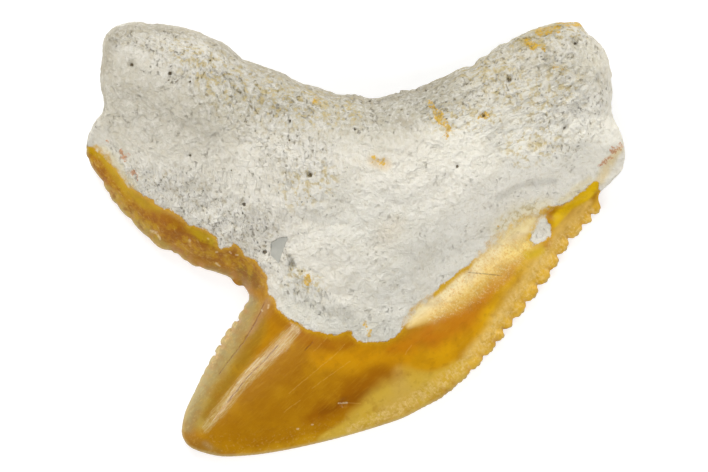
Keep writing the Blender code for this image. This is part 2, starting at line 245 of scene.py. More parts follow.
def depth_in(at: np.ndarray, loop: Path) -> np.ndarray:
    """Distance of each place into a closed loop, less than nought outside it."""
    gap, _, _ = from_path(at, loop + loop[:1])
    return np.where(inside(at, loop), gap, -gap)


def paint(at: np.ndarray, base: Colour, tints: Sequence[Tint]) -> np.ndarray:
    """Colours from a base and soft zones laid over it in order.

    Args:
        at: Picture coordinates, one place per row.
        base: Display colour where no zone reaches.
        tints: The zones.

    Returns:
        One linear colour per row.
    """
    colour = np.tile(np.array(linear(base)), (len(at), 1))
    for tint in tints:
        gap, width, _ = from_path(at, tint.path)
        cover = eased((1.0 + tint.soft - gap / width) / (2.0 * tint.soft)) * tint.strength
        colour += (np.array(linear(tint.colour)) - colour) * cover[:, None]
    return colour


def cover_of(at: np.ndarray, zones: Sequence[Path]) -> np.ndarray:
    """Cover of each place by zones, from 0 to 1 and a half at a zone's half width."""
    nearness = [gap / width for gap, width, _ in (from_path(at, path) for path in zones)]
    return eased(1.5 - np.min(nearness, axis=0))


def noise_at(points: np.ndarray, size: Sequence[float], seed: Seed) -> np.ndarray:
    """Smooth noise from about -1 to 1 at points in mm, of a size in mm along each axis."""
    scaled = points / np.array(size, float) + seed.value
    return np.array([noise.noise(Vector(row)) for row in scaled.tolist()])


@dataclass(frozen=True)
class CuttingEdge:
    """A serrated edge through the tops of its beads.

    Its notches stand at given places or at a pitch, and fade in between two distances from the tip.
    """

    path: Path
    notches: Path = ()
    pitch: float = 0.0
    begins: float = 0.0
    whole: float = 0.0
    unevenness: float = 0.12
    last_bead_pitches: float = 1.6

    def cuts(self) -> np.ndarray:
        """Distances of the notches along the edge.

        Returns:
            One distance per notch.
        """
        if self.notches:
            return from_path(np.array(self.notches, float), self.path)[2]
        length = sum(math.dist(start, end) for start, end in zip(self.path, self.path[1:]))
        cuts = [0.0]
        while cuts[-1] + self.last_bead_pitches * self.pitch < length:
            cuts.append(cuts[-1] + self.pitch * (1.0 + self.unevenness * math.sin(5.0 * len(cuts))))
        return np.array(cuts)


# Tip of the cusp, towards which the serrations fade
TIP: Place = (181.0, 433.0)

MESIAL_EDGE = CuttingEdge(
    path=(
        (602, 209.5), (593, 220.7), (581.5, 232), (568.4, 248), (559.7, 262.7), (550.6, 277.8), (537, 296.2),
        (524, 312.6), (510.5, 329), (502.7, 340), (491, 353.3), (479.3, 366.3), (463, 381.4), (443, 397.6),
        (423.2, 408.3), (402.5, 418.9), (377.3, 427.5), (351.5, 435.2), (321.2, 443), (286.3, 450.7),
        (253.4, 455.7), (220.5, 457), (197.2, 451.5), (187.6, 446.6), (182.3, 439.3), (181, 433),
    ),
    notches=(
        (594.5, 217), (585, 227), (572, 240.6), (562, 257), (551.5, 270), (539.5, 286), (526.7, 303),
        (513.7, 320.5), (506.2, 330.7), (497, 343), (485, 359), (469.3, 370), (455, 385), (446.7, 393),
        (432.5, 401), (418.8, 409.2), (407.7, 415), (392.8, 421.5), (379.2, 426.9), (356, 434),
    ),
    begins=120.0,
    whole=350.0,
)
CUSP_EDGE = CuttingEdge(
    path=(
        (181, 433), (182.4, 423), (185, 412), (189.5, 401.6), (196.3, 387.6), (203, 373), (217.2, 346),
        (224.7, 333.4), (232, 324), (238, 316), (243.7, 306.3), (248.5, 300.5),
    ),
    pitch=10.8,
    begins=30.0,
    whole=110.0,
)
HEEL_EDGE = CuttingEdge(
    path=(
        (231, 278.4), (222.4, 275.3), (213.7, 271.8), (201, 269.5), (191.4, 265.2), (184.7, 261.2),
        (177, 254.4), (168.2, 251.5), (159.5, 248.6), (149.4, 240.4), (139.2, 230.4), (132, 223),
        (122.7, 213.3), (112, 200.7), (103, 185.3), (96.6, 174.6), (90.4, 166), (86.5, 157.2), (86, 147.5),
    ),
    notches=(
        (231, 278.4), (200, 268.5), (187.2, 261.5), (177.5, 255), (171.5, 251.7), (149.8, 237.5),
        (129.9, 219.5), (117.5, 204.4), (109.2, 192.4), (103.2, 183.5), (87.5, 158),
    ),
    whole=20.0,
)

# Where the enamel ends on the lingual side, from the distal to the mesial corner
ENAMEL_LINE: Path = (
    (76, 147), (85.7, 147.2), (95.3, 147.2), (104.2, 151.7), (108, 155.5), (110.6, 161), (117.6, 169.5),
    (124.6, 179.7), (134, 188), (143.8, 194), (156, 203), (166, 209), (175.7, 212), (186.5, 221),
    (189, 225), (199, 226), (209.7, 230.7), (218, 238), (220, 248), (231, 246.5), (233.8, 242.3),
    (239.6, 247.3), (247, 256.4), (257.8, 262.2), (263.6, 269.7), (267.8, 278), (268.6, 293),
    (275.2, 300.4), (278.6, 308.7), (290, 318), (301.4, 324), (307.7, 328.6), (323.8, 332), (326.4, 334.4),
    (337, 333.5), (351.4, 330), (353.2, 335.7), (357.7, 339.3), (365.7, 341.5), (376.4, 341), (387, 340.6),
    (395.2, 335.7), (401.4, 331.3), (403.2, 324), (413, 307), (434, 292), (445.7, 280.4), (464.8, 267),
    (484, 250), (499, 234), (520, 219), (545, 208.5), (553, 205), (560.5, 206), (569.5, 200.5),
    (581, 193.5), (592.5, 182), (597.5, 179), (599, 187), (601, 197), (620, 202),
)
# Corners past the outline that close the root's side of that line
BEYOND_ROOT: Path = ((660, 186), (660, -30), (40, -30), (40, 147))
# Where the enamel ends on the labial side, under the tooth
LABIAL_LINE: Path = (
    (70, 160), (100, 160), (150, 185), (220, 205), (300, 200), (360, 190), (420, 180), (500, 175),
    (570, 185), (610, 196), (640, 200),
)
# A chip through the enamel near the mesial shoulder
ENAMEL_CHIP: Path = ((543, 216), (551, 226), (550.5, 236), (541, 242), (534, 246), (530.5, 240), (536.5, 227))
# A grey flat on the root
FLAT_PATCH: Path = ((279, 238), (288, 237), (284, 249), (279, 263.5), (271, 256), (271, 243))

ROOT_BASE: Colour = (246, 241, 227)
ENAMEL_BASE: Colour = (182, 124, 4)

ENAMEL_TINTS: tuple[Tint, ...] = (
    # Body of the cusp
    Tint((176, 120, 6), ((215, 425, 24), (260, 410, 34), (300, 390, 30)), 0.6),
    Tint((166, 108, 4), ((250, 395, 14), (285, 375, 16), (300, 355, 12)), 0.6),
    Tint((212, 148, 0), ((322, 358, 10), (350, 360, 13), (400, 358, 15), (446, 360, 12)), 0.85),
    Tint((166, 98, 0), ((290, 328, 5), (308, 340, 7), (332, 346, 5), (352, 344, 3)), 0.75),
    Tint((160, 96, 0), ((384, 376, 11), (362, 388, 15), (332, 407, 9), (304, 421, 5)), 0.9),
    Tint((140, 80, 0), ((374, 390, 4), (350, 400, 5), (322, 412, 3)), 0.7),
    # Tan band along the lower cutting edge
    Tint((210, 158, 20), ((240, 455, 4), (290, 447, 6), (340, 436, 7)), 0.7),
    Tint((218, 182, 70), ((320, 441, 4), (352, 429, 11), (384, 408, 22), (414, 392, 24), (444, 382, 14),
        (470, 362, 8)), 0.9, 0.45),
    Tint((210, 172, 90), ((398, 372, 6), (404, 396, 12), (392, 410, 12)), 0.5),
    Tint((226, 180, 64), ((440, 380, 7), (452, 376, 8), (462, 366, 6)), 0.6),
    Tint((208, 150, 0), ((418, 362, 7), (432, 360, 10), (450, 350, 9)), 0.9, 0.4),
    # Mesial blade from the root outwards
    Tint((220, 160, 0), ((444, 348, 13), (466, 336, 17), (488, 314, 13)), 0.9),
    Tint((224, 172, 0), ((484, 312, 8), (503, 290, 9), (520, 268, 8), (533, 252, 6)), 0.9),
    Tint((238, 198, 102), ((588, 204, 5), (563, 232, 9), (551, 247, 9), (536, 265, 8), (526, 282, 7),
        (514, 296, 7), (498, 318, 6), (484, 338, 6), (468, 356, 5)), 0.8, 0.9),
    Tint((236, 188, 62), ((602, 200, 6), (596, 212, 5), (564, 246, 6), (544, 276, 6), (531, 293, 6),
        (518, 310, 6), (498, 337, 6), (484, 354, 6), (470, 366, 5)), 0.85, 0.5),
    Tint((196, 118, 0), ((522, 256, 3), (504, 276, 5), (486, 297, 7), (463, 318, 11), (432, 338, 10)), 0.9),
    Tint((196, 116, 0), ((430, 330, 7), (405, 345, 7), (390, 352, 4)), 0.7),
    # Painted sheen in the next two zones: cream that stands in for the blade's broad reflection
    Tint((250, 216, 124), ((408, 324, 3), (430, 312, 8), (455, 292, 13), (485, 270, 15), (515, 250, 12),
        (536, 240, 6)), 0.9, 1),
    Tint((252, 236, 186), ((408, 320, 5), (420, 309, 8), (434, 298, 9), (450, 286, 9), (478, 262, 9),
        (505, 240, 9), (530, 222, 9)), 0.88, 1),
    Tint((252, 232, 170), ((500, 232, 8), (520, 222, 9), (538, 212, 7)), 0.8, 1),
    # Painted sheen, brightest at its upper end
    Tint((255, 228, 134), ((510, 252, 8), (530, 240, 6)), 0.7, 1),
    Tint((220, 184, 10), ((526, 255, 4.5), (540, 251, 4.5)), 0.7, 0.7),
    Tint((216, 168, 14), ((432, 294, 2), (446, 283, 3), (460, 272, 3.2), (470, 264, 2.4)), 0.9, 0.6),
    Tint((236, 192, 0), ((600, 180, 5.5), (594, 186, 5), (584, 196, 5), (571, 205, 5), (562, 212, 5),
        (555, 222, 4.5)), 1, 0.4),
    Tint((206, 136, 10), ((549, 212, 2.2), (543, 211, 2)), 0.55, 0.6),
    Tint((222, 184, 20), ((529, 236, 2.6), (535, 228, 2.2)), 0.8, 0.6),
    Tint((190, 118, 12), ((546, 245, 4), (552, 219, 3)), 0.6, 0.6),
    # Distal flank of the cusp, from the cutting edge to the ridge. Its pale olive bands near the edge are
    # partly the thin enamel's own tone, partly painted light shining through it
    Tint((176, 150, 70), ((258, 310, 9), (246, 336, 11), (230, 364, 11), (212, 396, 9),
        (200, 424, 7)), 0.85),
    Tint((164, 148, 100), ((250, 302, 7), (240, 324, 9), (226, 346, 10), (210, 372, 9), (197, 396, 8),
        (188, 430, 5)), 0.9),
    Tint((152, 110, 14), ((263, 322, 6), (250, 348, 7), (234, 374, 6), (216, 398, 5), (206, 416, 4)), 0.8),
    Tint((166, 110, 14), ((262, 272, 5), (267, 292, 6), (274, 312, 7), (284, 322, 5)), 0.8),
    Tint((176, 134, 88), ((268, 300, 3.5), (258, 318, 4), (250, 332, 3)), 0.7, 0.6),
    Tint((188, 174, 124), ((247, 299, 3), (238, 317, 4), (222, 343, 4), (206, 372, 4), (192, 402, 4),
        (184, 428, 3)), 0.5),
    # Blunt tip
    Tint((160, 116, 44), ((186, 440, 6), (200, 447, 7), (216, 452, 5)), 0.7),
    Tint((176, 144, 100), ((204, 443, 3), (211, 449, 3)), 0.4, 0.9),
    # Heel, from its cutting edge to the root
    Tint((166, 106, 2), ((92, 160, 7), (110, 188, 8), (134, 212, 9), (170, 230, 9), (205, 250, 9)), 0.9),
    Tint((170, 144, 70), ((92, 172, 3), (106, 194, 4), (124, 216, 4), (146, 234, 4), (170, 247, 4),
        (190, 258, 4)), 0.85),
    Tint((178, 156, 82), ((104, 182, 2.4), (112, 193, 3.6), (133, 217, 4), (147, 229, 4)), 0.65),
    Tint((190, 150, 0), ((90, 150, 3), (104, 158, 4), (116, 172, 5), (126, 190, 5), (141, 203, 5),
        (158, 211, 4)), 0.95, 0.5),
    Tint((188, 152, 0), ((189, 230, 5), (200, 235, 6), (212, 241, 6), (217, 248, 3)), 0.95, 0.5),
    Tint((208, 176, 40), ((208, 238, 3.4), (214, 243, 3.4)), 0.7, 0.6),
    Tint((168, 100, 0), ((150, 214, 5), (172, 226, 7), (186, 236, 6)), 0.8),
    Tint((176, 118, 6), ((190, 243, 4), (204, 247, 4)), 0.6),
    Tint((164, 112, 18), ((180, 250, 5), (200, 258, 7), (216, 266, 5)), 0.75),
    Tint((158, 98, 0), ((222, 252, 7), (238, 256, 8), (256, 268, 6)), 0.85),
    Tint((148, 116, 48), ((206, 268, 3), (228, 274, 5), (244, 284, 5)), 0.75),
    Tint((122, 86, 18), ((242, 271, 6), (250, 276, 6), (256, 285, 4)), 0.8),
)

# Broad tones of the labial side
UNDER_TINTS: tuple[Tint, ...] = (
    Tint((204, 150, 20), ((300, 300, 40), (420, 290, 44), (520, 250, 26)), 0.7),
    Tint((156, 94, 0), ((300, 400, 26), (380, 370, 26)), 0.7),
    Tint((208, 172, 90), ((300, 440, 12), (400, 410, 14), (500, 330, 14), (590, 215, 10)), 0.8),
    Tint((190, 170, 110), ((240, 320, 10), (200, 395, 8)), 0.8),
    Tint((200, 130, 20), ((100, 175, 12), (150, 230, 14), (220, 262, 12)), 0.7),
)

ROOT_TINTS: tuple[Tint, ...] = (
    Tint((254, 250, 236), ((470, 150, 36), (540, 130, 44), (595, 150, 30)), 0.85, 1),
    Tint((224, 217, 196), ((470, 80, 26), (540, 60, 34), (585, 60, 26)), 0.7, 1),
    Tint((190, 184, 168), ((115, 90, 40), (160, 110, 46), (200, 130, 36)), 0.8, 1),
    Tint((192, 186, 167), ((230, 96, 28), (300, 108, 26), (380, 122, 24), (440, 98, 22)), 0.75, 1),
    Tint((233, 230, 218), ((345, 215, 30), (400, 240, 40), (440, 235, 30), (380, 290, 30)), 0.8, 1),
    Tint((254, 250, 238), ((450, 210, 26), (520, 192, 22), (575, 178, 14)), 0.7, 1),
    Tint((222, 220, 208), ((295, 300, 18), (335, 322, 16), (385, 330, 12)), 0.75),
    Tint((212, 196, 170), ((386, 236, 10), (394, 228, 9)), 0.4, 1),
    # Painted shade along the root's upper rim, where its surface turns away, in this zone and the next
    Tint((182, 174, 154), ((102, 70, 7), (112, 36, 8), (145, 26, 7), (200, 34, 7), (260, 66, 9),
        (330, 95, 8), (371, 100, 7), (440, 80, 7)), 0.75),
    Tint((190, 182, 158), ((440, 80, 9), (500, 48, 9), (560, 26, 6)), 0.6),
    # Painted shade in the hollow of the left waist
    Tint((206, 200, 182), ((104, 100, 10), (116, 124, 10), (122, 150, 8)), 0.6),
    Tint((233, 229, 216), ((92, 138, 6), (103, 142, 7), (116, 160, 6), (134, 184, 7)), 0.85),
    Tint((226, 210, 160), ((96, 146, 3), (112, 156, 4), (124, 176, 4), (136, 190, 4)), 0.6),
    Tint((242, 236, 222), ((618, 150, 8), (620, 164, 8), (610, 180, 6), (604, 192, 5)), 0.85),
    Tint((240, 214, 150), ((620, 150, 3), (609, 164, 4), (600, 178, 4), (596, 184, 3)), 0.75),
    Tint((240, 222, 166), ((588, 180, 4), (574, 192, 4), (560, 201, 3)), 0.6),
    Tint((252, 240, 204), ((544, 206, 8), (520, 216, 11), (500, 230, 9)), 0.85, 1),
    # Painted shadow along a step where the root thickens
    Tint((196, 192, 180), ((496, 198, 3), (518, 188, 3), (554, 180, 2.5)), 0.5),
    Tint((222, 182, 104), ((373, 162, 5), (385, 164, 5)), 0.5),
    Tint((190, 168, 100), ((524, 44, 6), (542, 46, 5)), 0.6),
    Tint((222, 202, 148), ((530, 146, 6), (540, 144, 6)), 0.5),
    Tint((132, 126, 110), ((291, 256, 2.8), (294, 265, 2.8)), 0.9, 0.4),
    Tint((176, 166, 144), ((398, 122, 5), (408, 126, 5)), 0.6),
)

ZONES: dict[Mask, tuple[Path, ...]] = {
    # Parts of the root by their surface: open and porous, fibrous, in layers, ochre in the hollows
    Mask.COARSE: (
        ((130, 36, 14), (200, 56, 20), (270, 95, 26), (360, 115, 22), (450, 95, 26), (520, 60, 30),
            (580, 45, 24)),
        ((132, 178, 18), (190, 202, 26), (250, 234, 28), (284, 266, 16), (300, 296, 8)),
        ((560, 130, 30), (590, 90, 26)), ((170, 70, 12), (250, 112, 26), (300, 150, 30)),
    ),
    Mask.FIBROUS: (
        ((160, 190, 26), (215, 200, 34), (260, 200, 40), (300, 200, 42), (320, 170, 34)),
        ((300, 290, 16), (350, 318, 8)),
    ),
    Mask.LAYERED: (
        ((395, 100, 18), (450, 100, 30), (500, 75, 34), (560, 50, 28)), ((500, 130, 24), (560, 100, 26)),
        ((120, 40, 10), (160, 40, 14), (210, 60, 16), (270, 98, 15), (310, 112, 10)),
    ),
    Mask.OCHRE: (
        ((180, 50, 14), (230, 85, 22), (300, 108, 22), (350, 112, 14)),
        ((470, 66, 16), (500, 80, 20), (530, 100, 22), (560, 84, 18)),
        ((520, 44, 14), (560, 30, 14), (584, 30, 10)), ((520, 150, 18), (545, 140, 16)),
        ((440, 120, 14), (490, 118, 14)), ((300, 190, 20), (322, 180, 16)),
        ((296, 275, 10), (316, 285, 10)), ((505, 224, 9), (538, 208, 9)),
    ),
    # Stains of the root
    Mask.ORANGE: (
        ((427, 103, 2.6), (435, 113, 4.4), (444, 125, 4.4), (448, 131, 3.4)),
        ((446, 130, 3.2), (446, 139, 2.2)), ((374, 160, 2.6), (384, 164, 2.4)),
        ((538, 33, 4.2), (550, 30, 5), (556, 31, 3.6)), ((560, 22, 3.4), (572, 24, 3.8), (582, 24, 3.4)),
        ((526, 42, 4), (532, 48, 4)), ((542, 46, 2.6), (541, 50, 2.4)), ((481, 116, 3.4), (486, 117, 2.4)),
        ((307, 274, 2.6), (309, 283, 3.2)), ((316, 103, 2.4), (319, 105, 2.4)),
        ((363, 324, 2.6), (366, 325, 2.6)), ((369, 332, 2.4), (370, 334, 2.4)),
        ((498, 227, 2.2), (499, 229, 2.2)), ((540, 212, 2.6), (550, 210, 2.6)),
        ((554, 66, 2.4), (560, 68, 2.4)),
    ),
    Mask.PINK: (
        ((600, 166, 3), (608, 157, 3.4), (620, 148, 3.8)), ((107, 141, 2.2), (110, 142, 2.2)),
        ((123, 152, 2.8), (127, 159, 2.6)), ((133, 172, 2.4), (140, 180, 2)),
    ),
    # Broad sheen of the blade
    Mask.SHEEN: (
        ((432, 318, 5), (448, 304, 13), (466, 290, 17), (494, 268, 18), (518, 250, 13), (532, 240, 6)),
    ),
    # Worn crest of the cusp, with a painted highlight along it over the lamp's real reflection
    Mask.STREAK: (
        ((295, 329, 6), (286, 339, 8), (268, 357, 8), (245, 380, 7), (222, 408, 6.5), (206, 428, 4.5)),
    ),
    # Frosted enamel inside the beads of the mesial edge and along the cusp's edge
    Mask.FROST: (
        ((592, 212, 5), (558, 246, 8), (530, 284, 8), (512, 306, 8), (494, 332, 7), (468, 362, 6),
            (440, 384, 7), (400, 408, 7), (350, 430, 4)),
        ((244, 306, 2), (230, 332, 2.4), (212, 364, 2)),
    ),
    # Thin mottled enamel of the heel
    Mask.THIN: (
        ((92, 158, 4), (108, 188, 8), (134, 216, 10), (170, 234, 11), (205, 250, 11), (240, 262, 10),
            (262, 284, 6)),
    ),
    # Where root and enamel pass into one another
    Mask.SOFT: (
        ((480, 252, 6), (505, 233, 12), (530, 216, 12), (550, 207, 4)),
        ((406, 320, 5), (418, 308, 7), (430, 297, 5)), ((98, 148, 4), (114, 160, 5), (132, 184, 5)),
    ),
}
# Zones whose edges drift with the noise
STAINS = (Mask.ORANGE, Mask.PINK)
# Zones that also reach the labial side
ALL_ROUND = (Mask.COARSE, Mask.FIBROUS, Mask.LAYERED, Mask.OCHRE)

# Dark pits of the root: place, radius, and strength where it isn't 1
PITS: tuple[Spot, ...] = tuple(
    Spot(*row)
    for row in (
        (132.5, 65.5, 2), (574, 44.5, 2.2), (244.6, 204.5, 2), (508, 80, 2.4, 0.8), (514, 80, 1.8, 0.7),
        (483, 116.5, 2.4, 0.6), (456.5, 167, 1.7), (466, 85, 1.6), (425, 90, 1.6), (401.6, 93, 1.8, 0.7),
        (564, 129, 1.9, 0.7), (355, 130, 2.2, 0.7), (171.5, 75, 1.7), (170, 81, 1.5), (191, 83, 1.8),
        (211, 62, 2.4, 0.4), (241, 94, 1.8, 0.5), (290.5, 122, 1.8), (354.6, 99.5, 2.2, 0.5),
        (191, 156, 2, 0.8), (120, 117, 2.2, 0.4), (204, 191, 2.6, 0.5), (310.6, 175.5, 1.9),
        (265, 252, 2.2), (282, 85, 1.7), (292.5, 104, 1.7, 0.6), (428, 120, 1.8, 0.7), (469, 133, 1.3),
        (145, 73, 1.3), (118, 85, 1.4), (171, 123, 1.3), (241, 176, 1.3), (290, 141, 1.6), (257, 243, 1.7),
        (265, 243, 1.6), (310, 269, 1.7), (302, 271, 1.6), (274, 267, 1.6), (370, 101, 1.5),
        (232, 171, 1.3), (258, 85, 1.4), (541, 97, 1.5), (535, 142, 1.6, 0.6), (530, 66, 1.7, 0.5),
        (548, 60, 1.8, 0.5), (570, 58, 2, 0.5), (560, 62, 1.6, 0.5), (499, 105, 1.7, 0.5),
        (520, 92, 2, 0.5), (446, 120, 1.6), (376, 252, 1.4, 0.5), (232, 224, 1.9, 0.8),
        (243, 214, 1.8, 0.8), (248, 220, 1.8, 0.8), (252, 226, 1.5, 0.7), (277, 213, 1.5, 0.8),
        (287, 226, 1.3, 0.7), (305, 232, 1.7, 0.6), (258, 252, 1.5, 0.8), (302, 203, 1.3),
        (193, 183, 1.5, 0.8), (201, 196, 1.7, 0.8), (217, 200, 1.5, 0.8),
    )
)

# Cracks, scratches and glints: both ends and the half width
CRACKS: tuple[Mark, ...] = (
    ((279, 345), (264.6, 360), 0.5), ((264.6, 360), (247, 377.6), 0.5), ((247, 377.6), (228, 402), 0.45),
    ((265, 303), (254, 325), 0.7), ((254, 325), (243, 343), 0.9), ((243, 343), (228, 362), 0.8),
    ((228, 362), (219, 374), 0.6), ((314, 341), (305, 350), 0.5), ((468.6, 272.3), (501, 275.6), 0.5),
)
SCRATCHES: tuple[Mark, ...] = (
    ((333, 356), (289, 393), 0.45), ((350, 361), (312, 388), 0.35), ((411, 345), (405, 354), 0.5),
    ((327, 337), (314, 351), 0.4), ((345, 344), (330, 360), 0.3), ((300, 400), (284, 412), 0.4),
    ((347, 402.6), (361, 403.6), 0.4), ((520, 258), (530, 266), 0.4), ((514, 262), (526, 272), 0.4),
    ((425, 379), (436, 382), 0.7),
)
GLINTS: tuple[Mark, ...] = (
    ((339, 403.2), (347, 402.6), 0.9), ((190, 240), (190.5, 241), 1.3), ((216.5, 252), (217.5, 252), 1),
    ((208, 238.5), (209, 239), 0.9), ((216, 263), (220, 266), 0.9), ((151, 231), (157, 233), 1.6),
    ((157, 233), (160, 239), 1.4), ((311.6, 424.7), (312.6, 424.6), 1), ((296.6, 428.9), (298, 428.8), 0.9),
    ((378, 415.5), (379, 415.3), 1.2), ((268.7, 305), (268.5, 308), 0.9), ((262, 310), (262.6, 311), 0.9),
    ((230, 252), (231, 253), 1), ((236, 255), (238, 255), 0.9),
)


@dataclass(frozen=True)
class Relief:
    """Heights in mm that the looks add to the CAD surface, and the sizes that go with them."""

    crease: float = 0.9
    crease_cosine: float = 0.2
    subdivisions: int = 2
    under_slope: float = -0.25
    top_blend: float = 0.3
    line_width: float = 0.2
    labial_share: float = 0.35
    lumps: float = 0.1
    lump_size: float = 1.3
    grain: float = 0.09
    grain_size: float = 0.55
    crumbs: float = 0.6
    fibres: float = 0.1
    fibre_width: float = 0.34
    fibre_length: float = 6.0
    ledges: float = 0.22
    ledge_gap: float = 0.8
    ledge_turn: float = 27.0
    ledges_part: float = -1.0
    swirl: float = 0.9
    swirl_size: tuple[float, float, float] = (1.6, 0.7, 2.0)
    break_size: tuple[float, float, float] = (0.9, 0.5, 1.0)
    pits: float = 0.05
    pit_size: float = 0.72
    pit_reach: float = 1.6
    shallow_pit: float = 0.8
    labial_pit: float = 3.0
    farthest_pit: float = 4.0
    grooves: float = 0.04
    groove_length: float = 13.0
    groove_width: float = 2.8
    beads: float = 0.02
    bead_middle: float = 6.0
    small_beads: float = 0.05
    small_pitch: float = 6.3
    small_dip: float = 0.6
    small_end: float = 300.0
    small_fade: float = 80.0
    ripples: float = 0.012
    ripple_size: tuple[float, float, float] = (2.2, 1.4, 2.0)
    edge_rise: float = 3.0
    rest_band: float = 0.12
    rest_blend: float = 0.3
    rim_slope: float = 0.65
    rim_blend: float = 0.3
    warp: float = 3.0
    warp_size: float = 0.9
    stain_warp: float = 5.0
    stain_size: float = 0.36


@dataclass(frozen=True)
class RootStone:
    """Dull porous stone of the root: its roughness and display colours."""

    roughness: float = 0.86
    shade: Colour = (218, 210, 188)
    # Raised, sunk, deep and gap below are partly the stone's own tones, partly painted light and shade of its
    # relief
    raised: Colour = (249, 246, 238)
    sunk: Colour = (204, 190, 156)
    ochre: Colour = (214, 192, 128)
    deep: Colour = (164, 144, 104)
    gap: Colour = (136, 114, 72)
    orange: Colour = (230, 184, 32)
    deep_orange: Colour = (180, 126, 26)
    red_brown: Colour = (204, 134, 76)
    flat: Colour = (178, 178, 170)
    hole: Colour = (104, 88, 58)


@dataclass(frozen=True)
class EnamelGloss:
    """Glossy enamel of the crown: its gloss and display colours."""

    roughness: float = 0.2
    coat: float = 0.25
    coat_roughness: float = 0.09
    specular: float = 0.26
    specular_tint: Colour = (1.0, 0.84, 0.42)
    cloud: Colour = (160, 98, 0)
    clearing: Colour = (206, 152, 18)
    mottle: Colour = (150, 90, 2)
    streak: Colour = (208, 160, 40)
    thin_amber: Colour = (146, 84, 0)
    thin_yellow: Colour = (194, 152, 10)
    thin_tan: Colour = (206, 168, 96)
    fringe: Colour = (222, 172, 30)
    # Painted glints on the beads of the cutting edges
    bead_glint: Colour = (240, 208, 132)
    frost: Colour = (242, 212, 140)
    groove: Colour = (188, 116, 12)
    rim: Colour = (202, 184, 128)
    fleck: Colour = (220, 152, 34)
    sheen: Colour = (250, 228, 168)
    highlight_and_wear: Colour = (206, 182, 122)
    # Painted highlight along the crest of the cusp, with its wear
    crack: Colour = (126, 74, 40)
    scratch: Colour = (232, 190, 96)
    glint: Colour = (240, 222, 178)


def arithmetic(operation: str, turned: bool = False) -> Callable:
    """Makes the method behind one of a value's operators.

    Args:
        operation: What its Math node does.
        turned: True where the other value comes first.

    Returns:
        The method.
    """

    def joined(self: "Wire", other: "Wire | float") -> "Wire":
        """A Math node on this value and another."""
        values = (other, self) if turned else (self, other)
        return self.paints.node("ShaderNodeMath", {"operation": operation}, dict(enumerate(values)))

    return joined


class Wire:
    """A value in a node tree that takes part in ordinary arithmetic."""

    __add__ = __radd__ = arithmetic("ADD")
    __mul__ = __rmul__ = arithmetic("MULTIPLY")
    __sub__, __rsub__ = arithmetic("SUBTRACT"), arithmetic("SUBTRACT", True)
    __truediv__, __rtruediv__ = arithmetic("DIVIDE"), arithmetic("DIVIDE", True)
    __pow__, __rpow__ = arithmetic("POWER"), arithmetic("POWER", True)
    over, under = arithmetic("MAXIMUM"), arithmetic("MINIMUM")

    def __init__(self, paints: "Nodes", socket: bpy.types.NodeSocket) -> None:
        """Keeps the tree and the socket.

        Args:
            paints: Builder of the tree.
            socket: Output that holds the value.
        """
        self.paints = paints
        self.socket = socket

    def step(self, low: float, high: float) -> "Wire":
        """Zero below low, one above high, eased between them."""
        settings = {"interpolation_type": "SMOOTHSTEP"}
        return self.paints.node("ShaderNodeMapRange", settings, {0: self, 1: low, 2: high})


